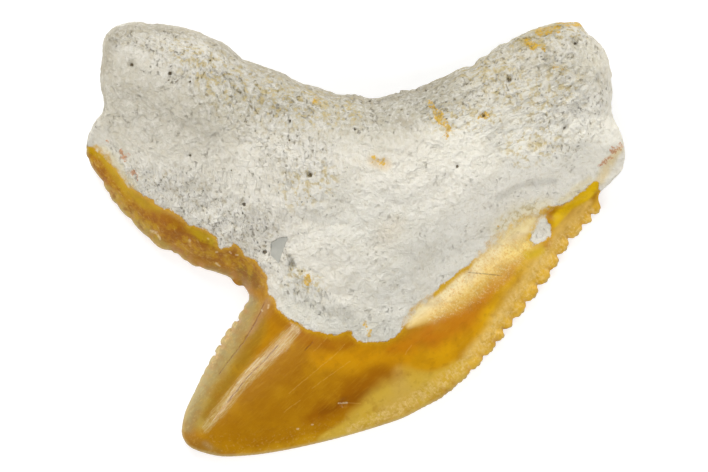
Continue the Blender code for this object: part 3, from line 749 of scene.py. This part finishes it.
class Nodes:
    """Builds one material's node tree."""

    def __init__(self, name: str) -> None:
        """Starts an empty material.

        Args:
            name: Name of the material.
        """
        self.material = bpy.data.materials.new(name)
        self.material.use_nodes = True
        self.tree = self.material.node_tree
        self.tree.nodes.clear()

    def node(self, kind: str, settings: dict, values: dict, output: int | str = 0) -> Wire:
        """Adds a node: its settings first, then its values and links.

        Args:
            kind: Node type.
            settings: Properties of the node.
            values: Inputs by name or number.
            output: The output to return.

        Returns:
            The chosen output.
        """
        made = self.tree.nodes.new(kind)
        for key, value in settings.items():
            setattr(made, key, value)
        for key, value in values.items():
            if isinstance(value, Wire):
                self.tree.links.new(value.socket, made.inputs[key])
            elif isinstance(value, tuple) and made.inputs[key].type == "RGBA":
                made.inputs[key].default_value = (*value[:3], 1.0)
            else:
                made.inputs[key].default_value = value
        return Wire(self, made.outputs[output])

    def surface(self, values: dict) -> None:
        """Ends the tree with a Principled BSDF.

        Args:
            values: Inputs of the shader by name.
        """
        shader = self.node("ShaderNodeBsdfPrincipled", {}, values)
        output = self.tree.nodes.new("ShaderNodeOutputMaterial")
        self.tree.links.new(shader.socket, output.inputs["Surface"])

    def mix(self, share: Wire, first: Wire, second: Wire | Colour) -> Wire:
        """Colours mixed by a share."""
        settings = {"data_type": "RGBA", "clamp_factor": True}
        return self.node("ShaderNodeMix", settings, {0: share, 6: first, 7: second}, 2)

    def laid(self, colour: Wire, coats: Sequence[tuple[Wire, Colour]]) -> Wire:
        """A colour with coats laid over it in order.

        Args:
            colour: Colour underneath.
            coats: Pairs of a share and a display colour.

        Returns:
            The colour on top.
        """
        for share, coat in coats:
            colour = self.mix(share, colour, linear(coat))
        return colour

    def blend(self, share: Wire, first: Wire | float, second: Wire) -> Wire:
        """Values mixed by a share."""
        return self.node("ShaderNodeMix", {"data_type": "FLOAT"}, {0: share, 2: first, 3: second})

    def vector(self, operation: str, first: Wire, second: "Wire | tuple | float") -> Wire:
        """A Vector Math node on two vectors, or on a vector and a number for SCALE."""
        place = 3 if operation == "SCALE" else 1
        return self.node("ShaderNodeVectorMath", {"operation": operation}, {0: first, place: second})

    def attribute(self, name: str, output: str = "Fac") -> Wire:
        """A value that the mesh carries."""
        return self.node("ShaderNodeAttribute", {"attribute_name": name}, {}, output)

    def noise(self, vector: Wire, scale: float, detail: float = 2.0, rough: float = 0.5) -> Wire:
        """Fractal noise from 0 to 1."""
        values = {"Vector": vector, "Scale": scale, "Detail": detail, "Roughness": rough}
        return self.node("ShaderNodeTexNoise", {}, values)

    def lined(self, vector: Wire, scale: tuple, run: Run, detail: float = 3.0, rough: float = 0.6) -> Wire:
        """Fractal noise drawn out along a run."""
        return self.noise(self.stretched(vector, scale, run), 1.0, detail, rough)

    def cells(self, vector: Wire, scale: float, output: str = "Distance") -> Wire:
        """Voronoi cells: distance or colour."""
        return self.node("ShaderNodeTexVoronoi", {}, {"Vector": vector, "Scale": scale}, output)

    def stretched(self, vector: Wire, scale: tuple, run: Run) -> Wire:
        """Coordinates turned to a run and scaled along each axis.

        Args:
            vector: The coordinates.
            scale: Scale along each axis.
            run: The run.

        Returns:
            The new coordinates.
        """
        values = {"Vector": vector, "Angle": math.radians(run.value)}
        turned = self.node("ShaderNodeVectorRotate", {"rotation_type": "Z_AXIS"}, values)
        return self.vector("MULTIPLY", turned, scale)

    def pores(self, vector: Wire, scale: float, radius: float, share: float) -> Wire:
        """Round pores in some of the cells.

        Args:
            vector: Coordinates of the cells.
            scale: Cells per step of the coordinates.
            radius: Radius of a pore, in cells.
            share: Share of the cells that have one.

        Returns:
            One in a pore and nought outside.
        """
        pick = self.node("ShaderNodeSeparateColor", {}, {0: self.cells(vector, scale, "Color")})
        gap = self.cells(vector, scale)
        return (1.0 - gap.step(radius * 0.5, radius)) * (1.0 - pick.step(share - 0.04, share + 0.04))


class ToothSurface:
    """The tooth's shown mesh, made from a copy of the CAD node."""

    def __init__(self, relief: Relief) -> None:
        """Copies and smooths the node.

        Args:
            relief: Heights that are added later.
        """
        self.relief = relief
        self.piece = self.copied()
        self.smoothed()
        self.points = self.read("co")
        self.at = PICTURE.of_points(self.points)
        self.normals = self.read("normal")
        self.under = self.normals[:, 2] < relief.under_slope
        self.masks: dict[Mask, np.ndarray] = {}

    def copied(self) -> bpy.types.Object:
        """Copies the CAD node and merges its loose triangles.

        Returns:
            The new object.
        """
        node = frame["nodes"]["tooth"]
        bpy.ops.object.select_all(action="DESELECT")
        node.select_set(True)
        bpy.context.view_layer.objects.active = node
        bpy.ops.object.duplicate()
        piece = bpy.context.view_layer.objects.active
        piece.parent = None
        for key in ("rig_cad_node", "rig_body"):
            del piece[key]
        piece.name = "tooth_surface"
        bpy.ops.object.mode_set(mode="EDIT")
        bpy.ops.mesh.select_all(action="SELECT")
        bpy.ops.mesh.remove_doubles(threshold=1e-7)
        bpy.ops.mesh.normals_make_consistent(inside=False)
        bpy.ops.object.mode_set(mode="OBJECT")
        bpy.ops.object.shade_smooth()
        return piece

    def smoothed(self) -> None:
        """Subdivides the copy, with its cutting edges kept sharp."""
        mesh, relief = self.piece.data, self.relief
        normals = {}
        for polygon in mesh.polygons:
            for key in polygon.edge_keys:
                normals.setdefault(key, []).append(polygon.normal.copy())
        pairs = [normals[edge.key] for edge in mesh.edges]
        sharp = [len(pair) == 2 and pair[0].dot(pair[1]) < relief.crease_cosine for pair in pairs]
        crease = mesh.attributes.new("crease_edge", "FLOAT", "EDGE")
        crease.data.foreach_set("value", [relief.crease if found else 0.0 for found in sharp])
        modifier = self.piece.modifiers.new("Subdivision", "SUBSURF")
        modifier.levels = modifier.render_levels = relief.subdivisions
        bpy.ops.object.modifier_apply(modifier=modifier.name)

    def read(self, what: str) -> np.ndarray:
        """Reads one property of the vertices.

        Args:
            what: Name of the property, co or normal.

        Returns:
            One vector per row.
        """
        rows = np.empty(len(self.piece.data.vertices) * 3)
        self.piece.data.vertices.foreach_get(what, rows)
        return rows.reshape(-1, 3)

    def signed_enamel(self) -> np.ndarray:
        """Distance into the enamel.

        Returns:
            One distance in mm per vertex, less than nought in the root.
        """
        gap, _, _ = from_path(self.at, ENAMEL_LINE)
        top = np.where(inside(self.at, ENAMEL_LINE + BEYOND_ROOT), -gap, gap)
        top = np.minimum(top, -depth_in(self.at, ENAMEL_CHIP))
        gap, _, _ = from_path(self.at, LABIAL_LINE)
        line_down = np.interp(self.at[:, 0], *np.array(LABIAL_LINE).T)
        below = np.where(self.at[:, 1] > line_down, gap, -gap)
        return np.where(self.under, below, top) / PICTURE.steps_per_mm

    def notches(self) -> tuple[np.ndarray, np.ndarray, np.ndarray]:
        """Grooves that run in from the notches, with the edge distance and the mesial distance.

        Returns:
            Groove share, distance from the cutting edge and distance along the mesial edge.
        """
        relief = self.relief
        edge = np.full(len(self.at), np.inf)
        groove, mesial = np.zeros(len(self.at)), np.zeros(len(self.at))
        from_tip = np.hypot(*(self.at - TIP).T)
        for line in (MESIAL_EDGE, CUSP_EDGE, HEEL_EDGE):
            gap, _, along = from_path(self.at, line.path)
            nearest = np.min(np.abs(along[:, None] - line.cuts()[None, :]), axis=1)
            grown = eased((from_tip - line.begins) / (line.whole - line.begins))
            cut = np.exp(-((nearest / relief.groove_width) ** 2)) * eased(1.0 - gap / relief.groove_length)
            groove = np.maximum(groove, cut * grown)
            edge = np.minimum(edge, gap)
            if line is MESIAL_EDGE:
                mesial = along
        return groove, edge, mesial

    def drifted(self, size: float, reach: float) -> np.ndarray:
        """Picture coordinates pushed about by noise.

        Args:
            size: Size of the noise in mm.
            reach: How far it pushes, in picture steps.

        Returns:
            One place per vertex.
        """
        points = self.points / MM
        shift = [noise_at(points, (size,) * 3, seed) * reach for seed in (Seed.ACROSS, Seed.DOWN)]
        return self.at + np.stack(shift, axis=1)

    def shaped(self) -> None:
        """Fills in the masks and adds the relief."""
        relief = self.relief
        slope = self.normals[:, 2]
        enamel = self.signed_enamel()
        groove, edge, mesial = self.notches()
        on_root = eased(0.5 - enamel / relief.line_width)
        on_top = eased(0.5 + slope / relief.top_blend)
        stained = self.drifted(relief.stain_size, relief.stain_warp)
        for mask, zones in ZONES.items():
            cover = cover_of(stained if mask in STAINS else self.at, zones)
            self.masks[mask] = cover if mask in ALL_ROUND else cover * on_top
        self.masks |= {
            Mask.ENAMEL: enamel,
            Mask.EDGE: edge / PICTURE.steps_per_mm,
            Mask.TOP: on_top,
            Mask.GROOVE: groove * on_top,
            Mask.FLAT: depth_in(self.at, FLAT_PATCH) / PICTURE.steps_per_mm * on_top,
            Mask.PIT: self.pits() + relief.labial_pit * (1.0 - on_top),
        }
        raised = self.root_relief() * on_root
        raised *= relief.labial_share + (1.0 - relief.labial_share) * on_top
        beads = eased(1.0 - np.abs(edge / relief.bead_middle - 1.0)) * relief.beads
        crown = (beads * (1.0 - groove) - groove * relief.grooves) * on_top
        crown += noise_at(self.points / MM, relief.ripple_size, Seed.RIPPLES) * relief.ripples
        raised += crown * (1.0 - on_root) * eased(edge / relief.edge_rise)
        away_from_rest = eased((self.points[:, 2] / MM - relief.rest_band) / relief.rest_blend)
        rim = eased((relief.rim_slope - np.abs(slope)) / relief.rim_blend)
        small = np.abs(np.sin(mesial * (math.pi / relief.small_pitch))) - relief.small_dip
        small *= relief.small_beads * rim * eased((relief.small_end - mesial) / relief.small_fade)
        moved = raised * away_from_rest + small * (1.0 - on_root)
        self.points = self.points + self.normals * (moved * MM)[:, None]
        self.points[:, 2] = np.maximum(self.points[:, 2], 0.0)
        self.points = np.clip(self.points, *(np.array(corner) for corner in CAD_BOX))
        self.piece.data.vertices.foreach_set("co", self.points.ravel())
        self.piece.data.update()

    def root_relief(self) -> np.ndarray:
        """Lumps, grain, fibres, ledges and pits of the root.

        Returns:
            One height in mm per vertex.
        """
        relief, points = self.relief, self.points / MM
        wide, thin = relief.grain_size, relief.fibre_width
        raised = noise_at(points, (relief.lump_size,) * 3, Seed.LUMPS) * relief.lumps
        grain = noise_at(points, (wide,) * 3, Seed.GRAIN)
        grain += relief.crumbs * noise_at(points, (0.5 * wide, 0.5 * wide, wide), Seed.CRUMBS)
        raised += grain * relief.grain * (0.4 + 0.7 * self.masks[Mask.COARSE])
        fibres = noise_at(points, (thin, relief.fibre_length * thin, thin), Seed.FIBRES)
        raised += fibres * relief.fibres * self.masks[Mask.FIBROUS]
        raised += self.ledges(points) * self.masks[Mask.LAYERED]
        return raised - eased(relief.pit_reach - self.masks[Mask.PIT]) * relief.pits

    def ledges(self, points: np.ndarray) -> np.ndarray:
        """Heights in mm of ragged ledges, where the root came apart in layers.

        Args:
            points: Points in mm, one per row.

        Returns:
            One height per row.
        """
        relief = self.relief
        turn = np.radians(relief.ledge_turn) * np.where(points[:, 0] < relief.ledges_part, -1.0, 1.0)
        across = points[:, 1] * np.cos(turn) - points[:, 0] * np.sin(turn)
        along = points[:, 0] * np.cos(turn) + points[:, 1] * np.sin(turn)
        lined = np.stack([along, across, points[:, 2]], axis=1)
        swirl = noise_at(lined, relief.swirl_size, Seed.SWIRL)
        phase = (across / relief.ledge_gap + relief.swirl * swirl) % 1.0
        broken = eased(0.5 + noise_at(lined, relief.break_size, Seed.BREAKS) / 0.5)
        return (phase - 0.5) * relief.ledges * broken

    def pits(self) -> np.ndarray:
        """Distance from the nearest pit.

        Returns:
            One distance per vertex in radii of the pit, more where the pit is shallow.
        """
        relief = self.relief
        nearest = np.full(len(self.at), relief.farthest_pit)
        for spot in PITS:
            gap = np.hypot(self.at[:, 0] - spot.across, self.at[:, 1] - spot.down)
            gap = gap / (spot.radius * relief.pit_size) + relief.shallow_pit * (1.0 - spot.strength)
            nearest = np.minimum(nearest, gap)
        return nearest

    def coloured(self) -> None:
        """Writes the masks and tones to the mesh."""
        mesh = self.piece.data
        for mask, values in self.masks.items():
            layer = mesh.attributes.new(mask.value, "FLOAT", "POINT")
            layer.data.foreach_set("value", values.astype(np.float32))
        warped = self.drifted(self.relief.warp_size, self.relief.warp)
        enamel, below = (paint(warped, ENAMEL_BASE, tints) for tints in (ENAMEL_TINTS, UNDER_TINTS))
        tones = {
            Part.ROOT: paint(warped, ROOT_BASE, ROOT_TINTS),
            Part.ENAMEL: np.where(self.under[:, None], below, enamel),
        }
        for part, tone in tones.items():
            layer = mesh.color_attributes.new(part.value, "FLOAT_COLOR", "POINT")
            rows = np.concatenate([tone, np.ones((len(tone), 1))], axis=1)
            layer.data.foreach_set("color", rows.astype(np.float32).ravel())


class ToothMaterial:
    """Mineralised root and glossy enamel in one material."""

    def __init__(self, stone: RootStone, gloss: EnamelGloss) -> None:
        """Builds the node tree.

        Args:
            stone: Finish of the root.
            gloss: Finish of the enamel.
        """
        self.stone = stone
        self.gloss = gloss
        self.paints = paints = Nodes("Fossil Tooth")
        here = paints.node("ShaderNodeTexCoord", {}, {}, "Object")
        self.mm = paints.vector("SCALE", here, 1.0 / MM)
        self.crumbled = self.warped(1.6, 0.12)
        self.top = self.mask(Mask.TOP)
        self.place = self.picture_place()
        enamel = self.enamel_share()
        root_colour, root_height = self.root()
        enamel_colour, enamel_height, enamel_rough = self.enamel()
        height = paints.blend(enamel, root_height, enamel_height)
        paints.surface({
            "Base Color": paints.mix(enamel, root_colour, enamel_colour),
            "Roughness": paints.blend(enamel, stone.roughness, enamel_rough),
            "Specular IOR Level": gloss.specular,
            "Specular Tint": gloss.specular_tint,
            "Coat Weight": enamel * self.mask(Mask.EDGE).step(0.5, 2.0) * gloss.coat,
            "Coat Roughness": gloss.coat_roughness,
            "Normal": paints.node("ShaderNodeBump", {}, {"Strength": 1.0, "Distance": MM, "Height": height}),
        })

    def mask(self, mask: Mask) -> Wire:
        """One of the mesh's masks."""
        return self.paints.attribute(mask.value)

    def axis(self, index: int) -> Wire:
        """One of the object coordinates, in mm."""
        return self.paints.node("ShaderNodeSeparateXYZ", {}, {0: self.mm}, index)

    def warped(self, scale: float, reach: float) -> Wire:
        """Object coordinates in mm, pushed about by noise.

        Args:
            scale: Scale of the noise, per mm.
            reach: How far it pushes, in mm.

        Returns:
            The coordinates.
        """
        paints = self.paints
        values = {"Vector": self.mm, "Scale": scale, "Detail": 2.0}
        push = paints.node("ShaderNodeTexNoise", {}, values, "Color")
        centred = paints.vector("SUBTRACT", push, (0.5, 0.5, 0.5))
        return paints.vector("ADD", self.mm, paints.vector("SCALE", centred, 2.0 * reach))

    def picture_place(self) -> tuple[Wire, Wire]:
        """Picture coordinates, with a wobble so that no drawn line is straight.

        Returns:
            Both coordinates.
        """
        wobble = (self.paints.noise(self.mm, 3.0) - 0.5) * 3.0
        steps = PICTURE.steps_per_mm
        across = self.axis(0) * steps + (PICTURE.across + PICTURE.origin_x_mm * steps) + wobble
        return across, PICTURE.down - self.axis(1) * steps

    def enamel_share(self) -> Wire:
        """Share of the enamel, with a ragged line against the root.

        Returns:
            One in the enamel and nought in the root.
        """
        soft = self.mask(Mask.SOFT)
        ragged = self.paints.noise(self.mm, 2.4, 5.0, 0.75) - 0.5
        signed = self.mask(Mask.ENAMEL) + ragged * (0.5 + 0.9 * soft)
        return (signed / (0.05 + 0.3 * soft)).step(-0.7, 1.0)

    def root(self) -> tuple[Wire, Wire]:
        """Builds the looks of the root.

        Returns:
            Its colour and height.
        """
        paints, stone, mm, crumbled = self.paints, self.stone, self.mm, self.crumbled
        coarse, fibrous, layered, ochre, stained, reddened = (
            self.mask(mask)
            for mask in (Mask.COARSE, Mask.FIBROUS, Mask.LAYERED, Mask.OCHRE, Mask.ORANGE, Mask.PINK)
        )
        broad = paints.noise(mm, 0.5, 3.0, 0.6)
        body = paints.noise(crumbled, 1.5, 3.0, 0.5)
        middle = paints.noise(crumbled, 3.4, 3.0, 0.6)
        fine = paints.noise(mm, 9.0, 3.0, 0.75)
        crumbs = paints.cells(paints.stretched(crumbled, (4.6, 3.0, 3.6), Run.CRUMBS), 1.0)
        specks = paints.lined(crumbled, (5.6, 3.6, 4.6), Run.CRUMBS, 3.0, 0.7)
        gate = paints.noise(crumbled, 1.2, 2.0, 0.5)
        gaps = specks.step(0.59, 0.67) * (gate + 0.16 * coarse).step(0.5, 0.68)
        threads = paints.lined(crumbled, (6.5, 1.6, 3.0), Run.THREADS)
        distal, mesial = (
            paints.lined(crumbled, (1.3, 5.5, 3.0), run) for run in (Run.DISTAL_LAYERS, Run.MESIAL_LAYERS)
        )
        layers = paints.blend(self.axis(0).step(-3.0, 0.0), distal, mesial)
        height = (body - 0.5) * 0.4 + (middle - 0.5) * (0.15 + 0.14 * coarse) + (fine - 0.5) * 0.08
        height = height + (threads - 0.5) * fibrous * 0.22 + (layers - 0.5) * layered * 0.34
        height = height + (0.5 - crumbs) * (0.006 + 0.1 * coarse) - gaps * 0.12
        grained = middle * 0.5 + fine * 0.3 + (0.5 - crumbs) * 0.12 + 0.07
        lined = (threads - 0.5) * fibrous * 0.35 + (layers - 0.5) * layered * 0.36
        hollow = grained + lined
        pit = (self.mask(Mask.PIT) + (fine - 0.5) * 2.4).step(0.55, 1.15)
        pores = paints.pores(crumbled, 2.2, 0.2, 0.3) * (0.15 + coarse).under(1.0)
        for scale, run, where in (
            ((3.4, 1.6, 2.0), Run.SLITS, fibrous),
            ((1.5, 3.6, 2.0), Run.MESIAL_LAYERS, layered),
        ):
            pores = pores.over(paints.pores(paints.stretched(crumbled, scale, run), 1.3, 0.2, 0.35) * where)
        holes = (pores * 0.5).over((1.0 - pit) * 0.85)
        speckled = (fine * 0.7 + middle * 0.8 - 0.75) * 4.0
        orange = (stained * 0.85 + speckled).step(0.3, 1.0) * stained.step(0.05, 0.3)
        red = (reddened * 0.8 + speckled).step(0.35, 1.0) * reddened.step(0.05, 0.3)
        flat = (self.mask(Mask.FLAT) + (fine - 0.5) * 0.1).step(-0.03, 0.03)
        colour = paints.laid(paints.attribute(Part.ROOT.value, "Color"), (
            (broad.step(0.4, 0.62) * 0.2, stone.shade),
            # Lighter on the raised grain and darker in the hollows and gaps: partly the stone's own ochre and
            # grey, partly painted light and shade
            (hollow.step(0.45, 0.56) * (0.28 + 0.2 * coarse), stone.raised),
            ((1.0 - hollow.step(0.35, 0.45)) * (0.2 + 0.26 * coarse), stone.sunk),
            ((1.0 - middle).step(0.5, 0.62) * ochre * 0.6, stone.ochre),
            ((1.0 - hollow.step(0.3, 0.38)) * (0.1 + 0.28 * coarse), stone.deep),
            (gaps * (0.2 + 0.3 * coarse), stone.gap),
            (orange * 0.85, stone.orange),
            (orange * (1.0 - hollow.step(0.38, 0.5)) * 0.7, stone.deep_orange),
            (red * 0.75, stone.red_brown),
            (flat * 0.9, stone.flat),
            (holes * (1.0 - flat), stone.hole),
        ))
        return colour, (height - holes * 0.08) * (1.0 - flat) - flat * 0.06

    def enamel(self) -> tuple[Wire, Wire, Wire]:
        """Builds the looks of the enamel.

        Returns:
            Its colour, height and roughness.
        """
        paints, gloss, mm = self.paints, self.gloss, self.mm
        groove, edge, sheen, frost, thin = (
            self.mask(mask) for mask in (Mask.GROOVE, Mask.EDGE, Mask.SHEEN, Mask.FROST, Mask.THIN)
        )
        cloud = paints.noise(mm, 0.8, 4.0, 0.6)
        mottle = paints.noise(self.crumbled, 2.2, 4.0, 0.65)
        speck = paints.noise(mm, 6.5, 3.0, 0.65)
        grains = paints.noise(mm, 11.0, 2.0, 0.6)
        streaks = paints.lined(mm, (1.2, 9.0, 3.0), Run.STREAKS, 4.0, 0.65)
        hairs = paints.lined(mm, (1.2, 16.0, 3.0), Run.BRUSHED, 3.0, 0.65)
        across = paints.lined(self.crumbled, (7.0, 1.8, 3.0), Run.HEEL)
        brushed = paints.lined(mm, (9.0, 4.0, 4.0), Run.BRUSHED, 3.0, 0.7)
        # Painted highlight along the crest of the cusp, broken up by wear scratches
        highlight_and_wear = (self.mask(Mask.STREAK) + (speck - 0.5) * 0.6 + (hairs - 0.5) * 1.6).step(0.25, 1.3)
        scratched = (hairs * 0.7 + grains * 0.3).step(0.4, 0.62)
        near_root = 1.0 - (self.mask(Mask.ENAMEL) + (speck - 0.5) * 0.5).step(0.0, 0.34)
        near_edge = (1.0 - edge.step(0.4, 1.6)) * (1.0 - groove)
        frosted = frost * (speck * 0.5 + across * 0.5).step(0.4, 0.62)
        flecks = (grains * 0.5 + brushed * 0.5).step(0.5, 0.62)
        pale = (1.0 - grains * 0.4 - brushed * 0.6).step(0.5, 0.62)
        broken = speck.step(0.3, 0.55) * self.top
        cracks, scratches, glints = (self.lines(marks) * broken for marks in (CRACKS, SCRATCHES, GLINTS))
        colour = paints.laid(paints.attribute(Part.ENAMEL.value, "Color"), (
            (cloud.step(0.45, 0.65) * 0.3, gloss.cloud),
            ((1.0 - cloud).step(0.5, 0.68) * 0.25, gloss.clearing),
            (mottle.step(0.52, 0.68) * 0.22, gloss.mottle),
            (streaks.step(0.5, 0.68) * 0.16, gloss.streak),
            (mottle.step(0.48, 0.62) * thin * 0.62, gloss.thin_amber),
            ((1.0 - mottle).step(0.48, 0.64) * thin * 0.62, gloss.thin_yellow),
            (across.step(0.56, 0.68) * thin * 0.4, gloss.thin_tan),
            (near_root * self.top * 0.55, gloss.fringe),
            # Painted glints: pale specks on the beads near the cutting edges, more where the enamel is
            # frosted
            (speck.step(0.52, 0.68) * near_edge * (0.16 + 0.3 * frost), gloss.bead_glint),
            (frosted * 0.45, gloss.frost),
            (groove * 0.5, gloss.groove),
            ((1.0 - edge.step(0.03, 0.2)) * 0.55, gloss.rim),
            (flecks * sheen * 0.5, gloss.fleck),
            (pale * sheen * 0.4, gloss.sheen),
            (highlight_and_wear * (0.34 + 0.5 * scratched), gloss.highlight_and_wear),
            (cracks * 0.6, gloss.crack),
            (scratches * 0.2, gloss.scratch),
            (glints * 0.5, gloss.glint),
        ))
        height = (streaks - 0.5) * 0.014 + (hairs - 0.5) * (0.005 + 0.02 * highlight_and_wear) - cracks * 0.02
        height = height + (speck - 0.5) * (0.003 + 0.016 * sheen) + (mottle - 0.5) * 0.012
        return colour, height, gloss.roughness + hairs * 0.16 + cloud * 0.06

    def lines(self, marks: Sequence[Mark]) -> Wire:
        """One on any of the lines, else nought.

        Args:
            marks: The lines.

        Returns:
            The share.
        """
        total = None
        for start, end, width in marks:
            share = 1.0 - self.from_line(start, end).step(0.2 * width, width + 0.45)
            total = share if total is None else total.over(share)
        return total

    def from_line(self, start: Place, end: Place) -> Wire:
        """Distance from a straight line.

        Args:
            start: One end.
            end: The other end.

        Returns:
            The distance in picture steps.
        """
        across, down = (value - first for value, first in zip(self.place, start))
        side = (end[0] - start[0], end[1] - start[1])
        square = side[0] ** 2 + side[1] ** 2
        share = (across * (side[0] / square) + down * (side[1] / square)).over(0.0).under(1.0)
        apart = [across - share * side[0], down - share * side[1]]
        return (apart[0] * apart[0] + apart[1] * apart[1]) ** 0.5


@dataclass(frozen=True)
class Lamp:
    """A soft box: its direction from the tooth, its size and the light that it gives.

    The share is what a white surface that lies flat sends back, with 1 for white.
    """

    name: str
    azimuth: float
    from_vertical: float
    distance: float
    size: tuple[float, float]
    share: float
    towards: tuple[float, float] | None = None


LAMPS: tuple[Lamp, ...] = (
    Lamp("Ridge strip", -132.0, 32.0, 0.35, (0.055, 0.20), 0.30, (-142.0, 50.0)),
    Lamp("Blade box", -31.0, 37.0, 0.35, (0.09, 0.09), 0.07),
    Lamp("Back box", 104.0, 53.0, 0.45, (0.26, 0.16), 0.36),
    Lamp("Left box", 205.0, 72.0, 0.45, (0.20, 0.20), 0.05),
    Lamp("Right box", 8.0, 66.0, 0.45, (0.20, 0.20), 0.13),
    Lamp("High box", 60.0, 14.0, 0.70, (0.20, 0.20), 0.085),
)


@dataclass(frozen=True)
class Studio:
    """Pale floor, soft light and the camera straight above."""

    camera_height: float = 0.5
    sensor: float = 36.0
    seen_height: float = 0.0012
    sky_share: float = 0.14
    floor_size: float = 1.2
    floor_colour: float = 0.5
    floor_glow: float = 0.62

    def build(self) -> None:
        """Builds floor, lights and camera."""
        self.floor()
        self.sky()
        for lamp in LAMPS:
            self.light(lamp)
        self.camera()

    def floor(self) -> None:
        """A plain white floor under the tooth, which glows a little as a light table does."""
        bpy.ops.mesh.primitive_plane_add(size=self.floor_size, location=(0.0, 0.0, 0.0))
        floor = bpy.context.object
        floor.name = "floor"
        paints = Nodes("Floor")
        paints.surface({
            "Base Color": (self.floor_colour,) * 3,
            "Roughness": 0.9,
            "Emission Color": (1.0, 1.0, 1.0),
            "Emission Strength": self.floor_glow,
        })
        floor.data.materials.append(paints.material)

    def sky(self) -> None:
        """Even white light from all round."""
        world = bpy.data.worlds.new("Sky")
        world.use_nodes = True
        back = world.node_tree.nodes["Background"]
        back.inputs["Color"].default_value = (1.0, 1.0, 1.0, 1.0)
        back.inputs["Strength"].default_value = self.sky_share
        bpy.context.scene.world = world

    def light(self, lamp: Lamp) -> None:
        """Hangs one soft box, turned to the tooth.

        Args:
            lamp: What the box is like.
        """
        light = bpy.data.lights.new(lamp.name, "AREA")
        light.shape = "RECTANGLE"
        light.size, light.size_y = lamp.size
        tilt = math.radians(lamp.from_vertical)
        light.energy = math.pi**2 * lamp.share * lamp.distance**2 / math.cos(tilt)
        away = self.direction(lamp.azimuth, lamp.from_vertical)
        long_side = Vector((0.0, 0.0, 1.0))
        if lamp.towards:
            long_side = self.direction(*lamp.towards) - away
        side = long_side.cross(away).normalized()
        box = bpy.data.objects.new(lamp.name, light)
        turn = Matrix((side, away.cross(side), away)).transposed().to_4x4()
        box.matrix_world = Matrix.Translation(away * lamp.distance) @ turn
        bpy.context.scene.collection.objects.link(box)

    @staticmethod
    def direction(azimuth: float, from_vertical: float) -> Vector:
        """Unit vector at an angle from +X round to +Y and at an angle from +Z, in degrees."""
        turn, tilt = math.radians(azimuth), math.radians(from_vertical)
        return Vector((math.sin(tilt) * math.cos(turn), math.sin(tilt) * math.sin(turn), math.cos(tilt)))

    def camera(self) -> None:
        """A long lens straight above, framed as the photograph is."""
        data = bpy.data.cameras.new("Camera")
        data.sensor_width = self.sensor
        seen = PICTURE.width / PICTURE.steps_per_mm * MM
        data.lens = self.sensor * (self.camera_height - self.seen_height) / seen
        data.clip_start = 0.01
        camera = bpy.data.objects.new("Camera", data)
        middle = (PICTURE.width / 2 - PICTURE.across) / PICTURE.steps_per_mm - PICTURE.origin_x_mm
        level = (PICTURE.down - PICTURE.height / 2) / PICTURE.steps_per_mm
        camera.location = (middle * MM, level * MM, self.camera_height)
        bpy.context.scene.collection.objects.link(camera)
        bpy.context.scene.camera = camera
        bpy.context.scene.view_settings.view_transform = "Standard"


def main() -> None:
    """Builds the tooth's looks and the studio."""
    logging.basicConfig(level=logging.INFO)
    surface = ToothSurface(Relief())
    surface.shaped()
    surface.coloured()
    surface.piece.data.materials.clear()
    surface.piece.data.materials.append(ToothMaterial(RootStone(), EnamelGloss()).paints.material)
    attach(surface.piece, "root")
    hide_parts("tooth")
    LOG.info("tooth_surface: %d faces", len(surface.piece.data.polygons))
    Studio().build()


if __name__ == "__main__":
    main()
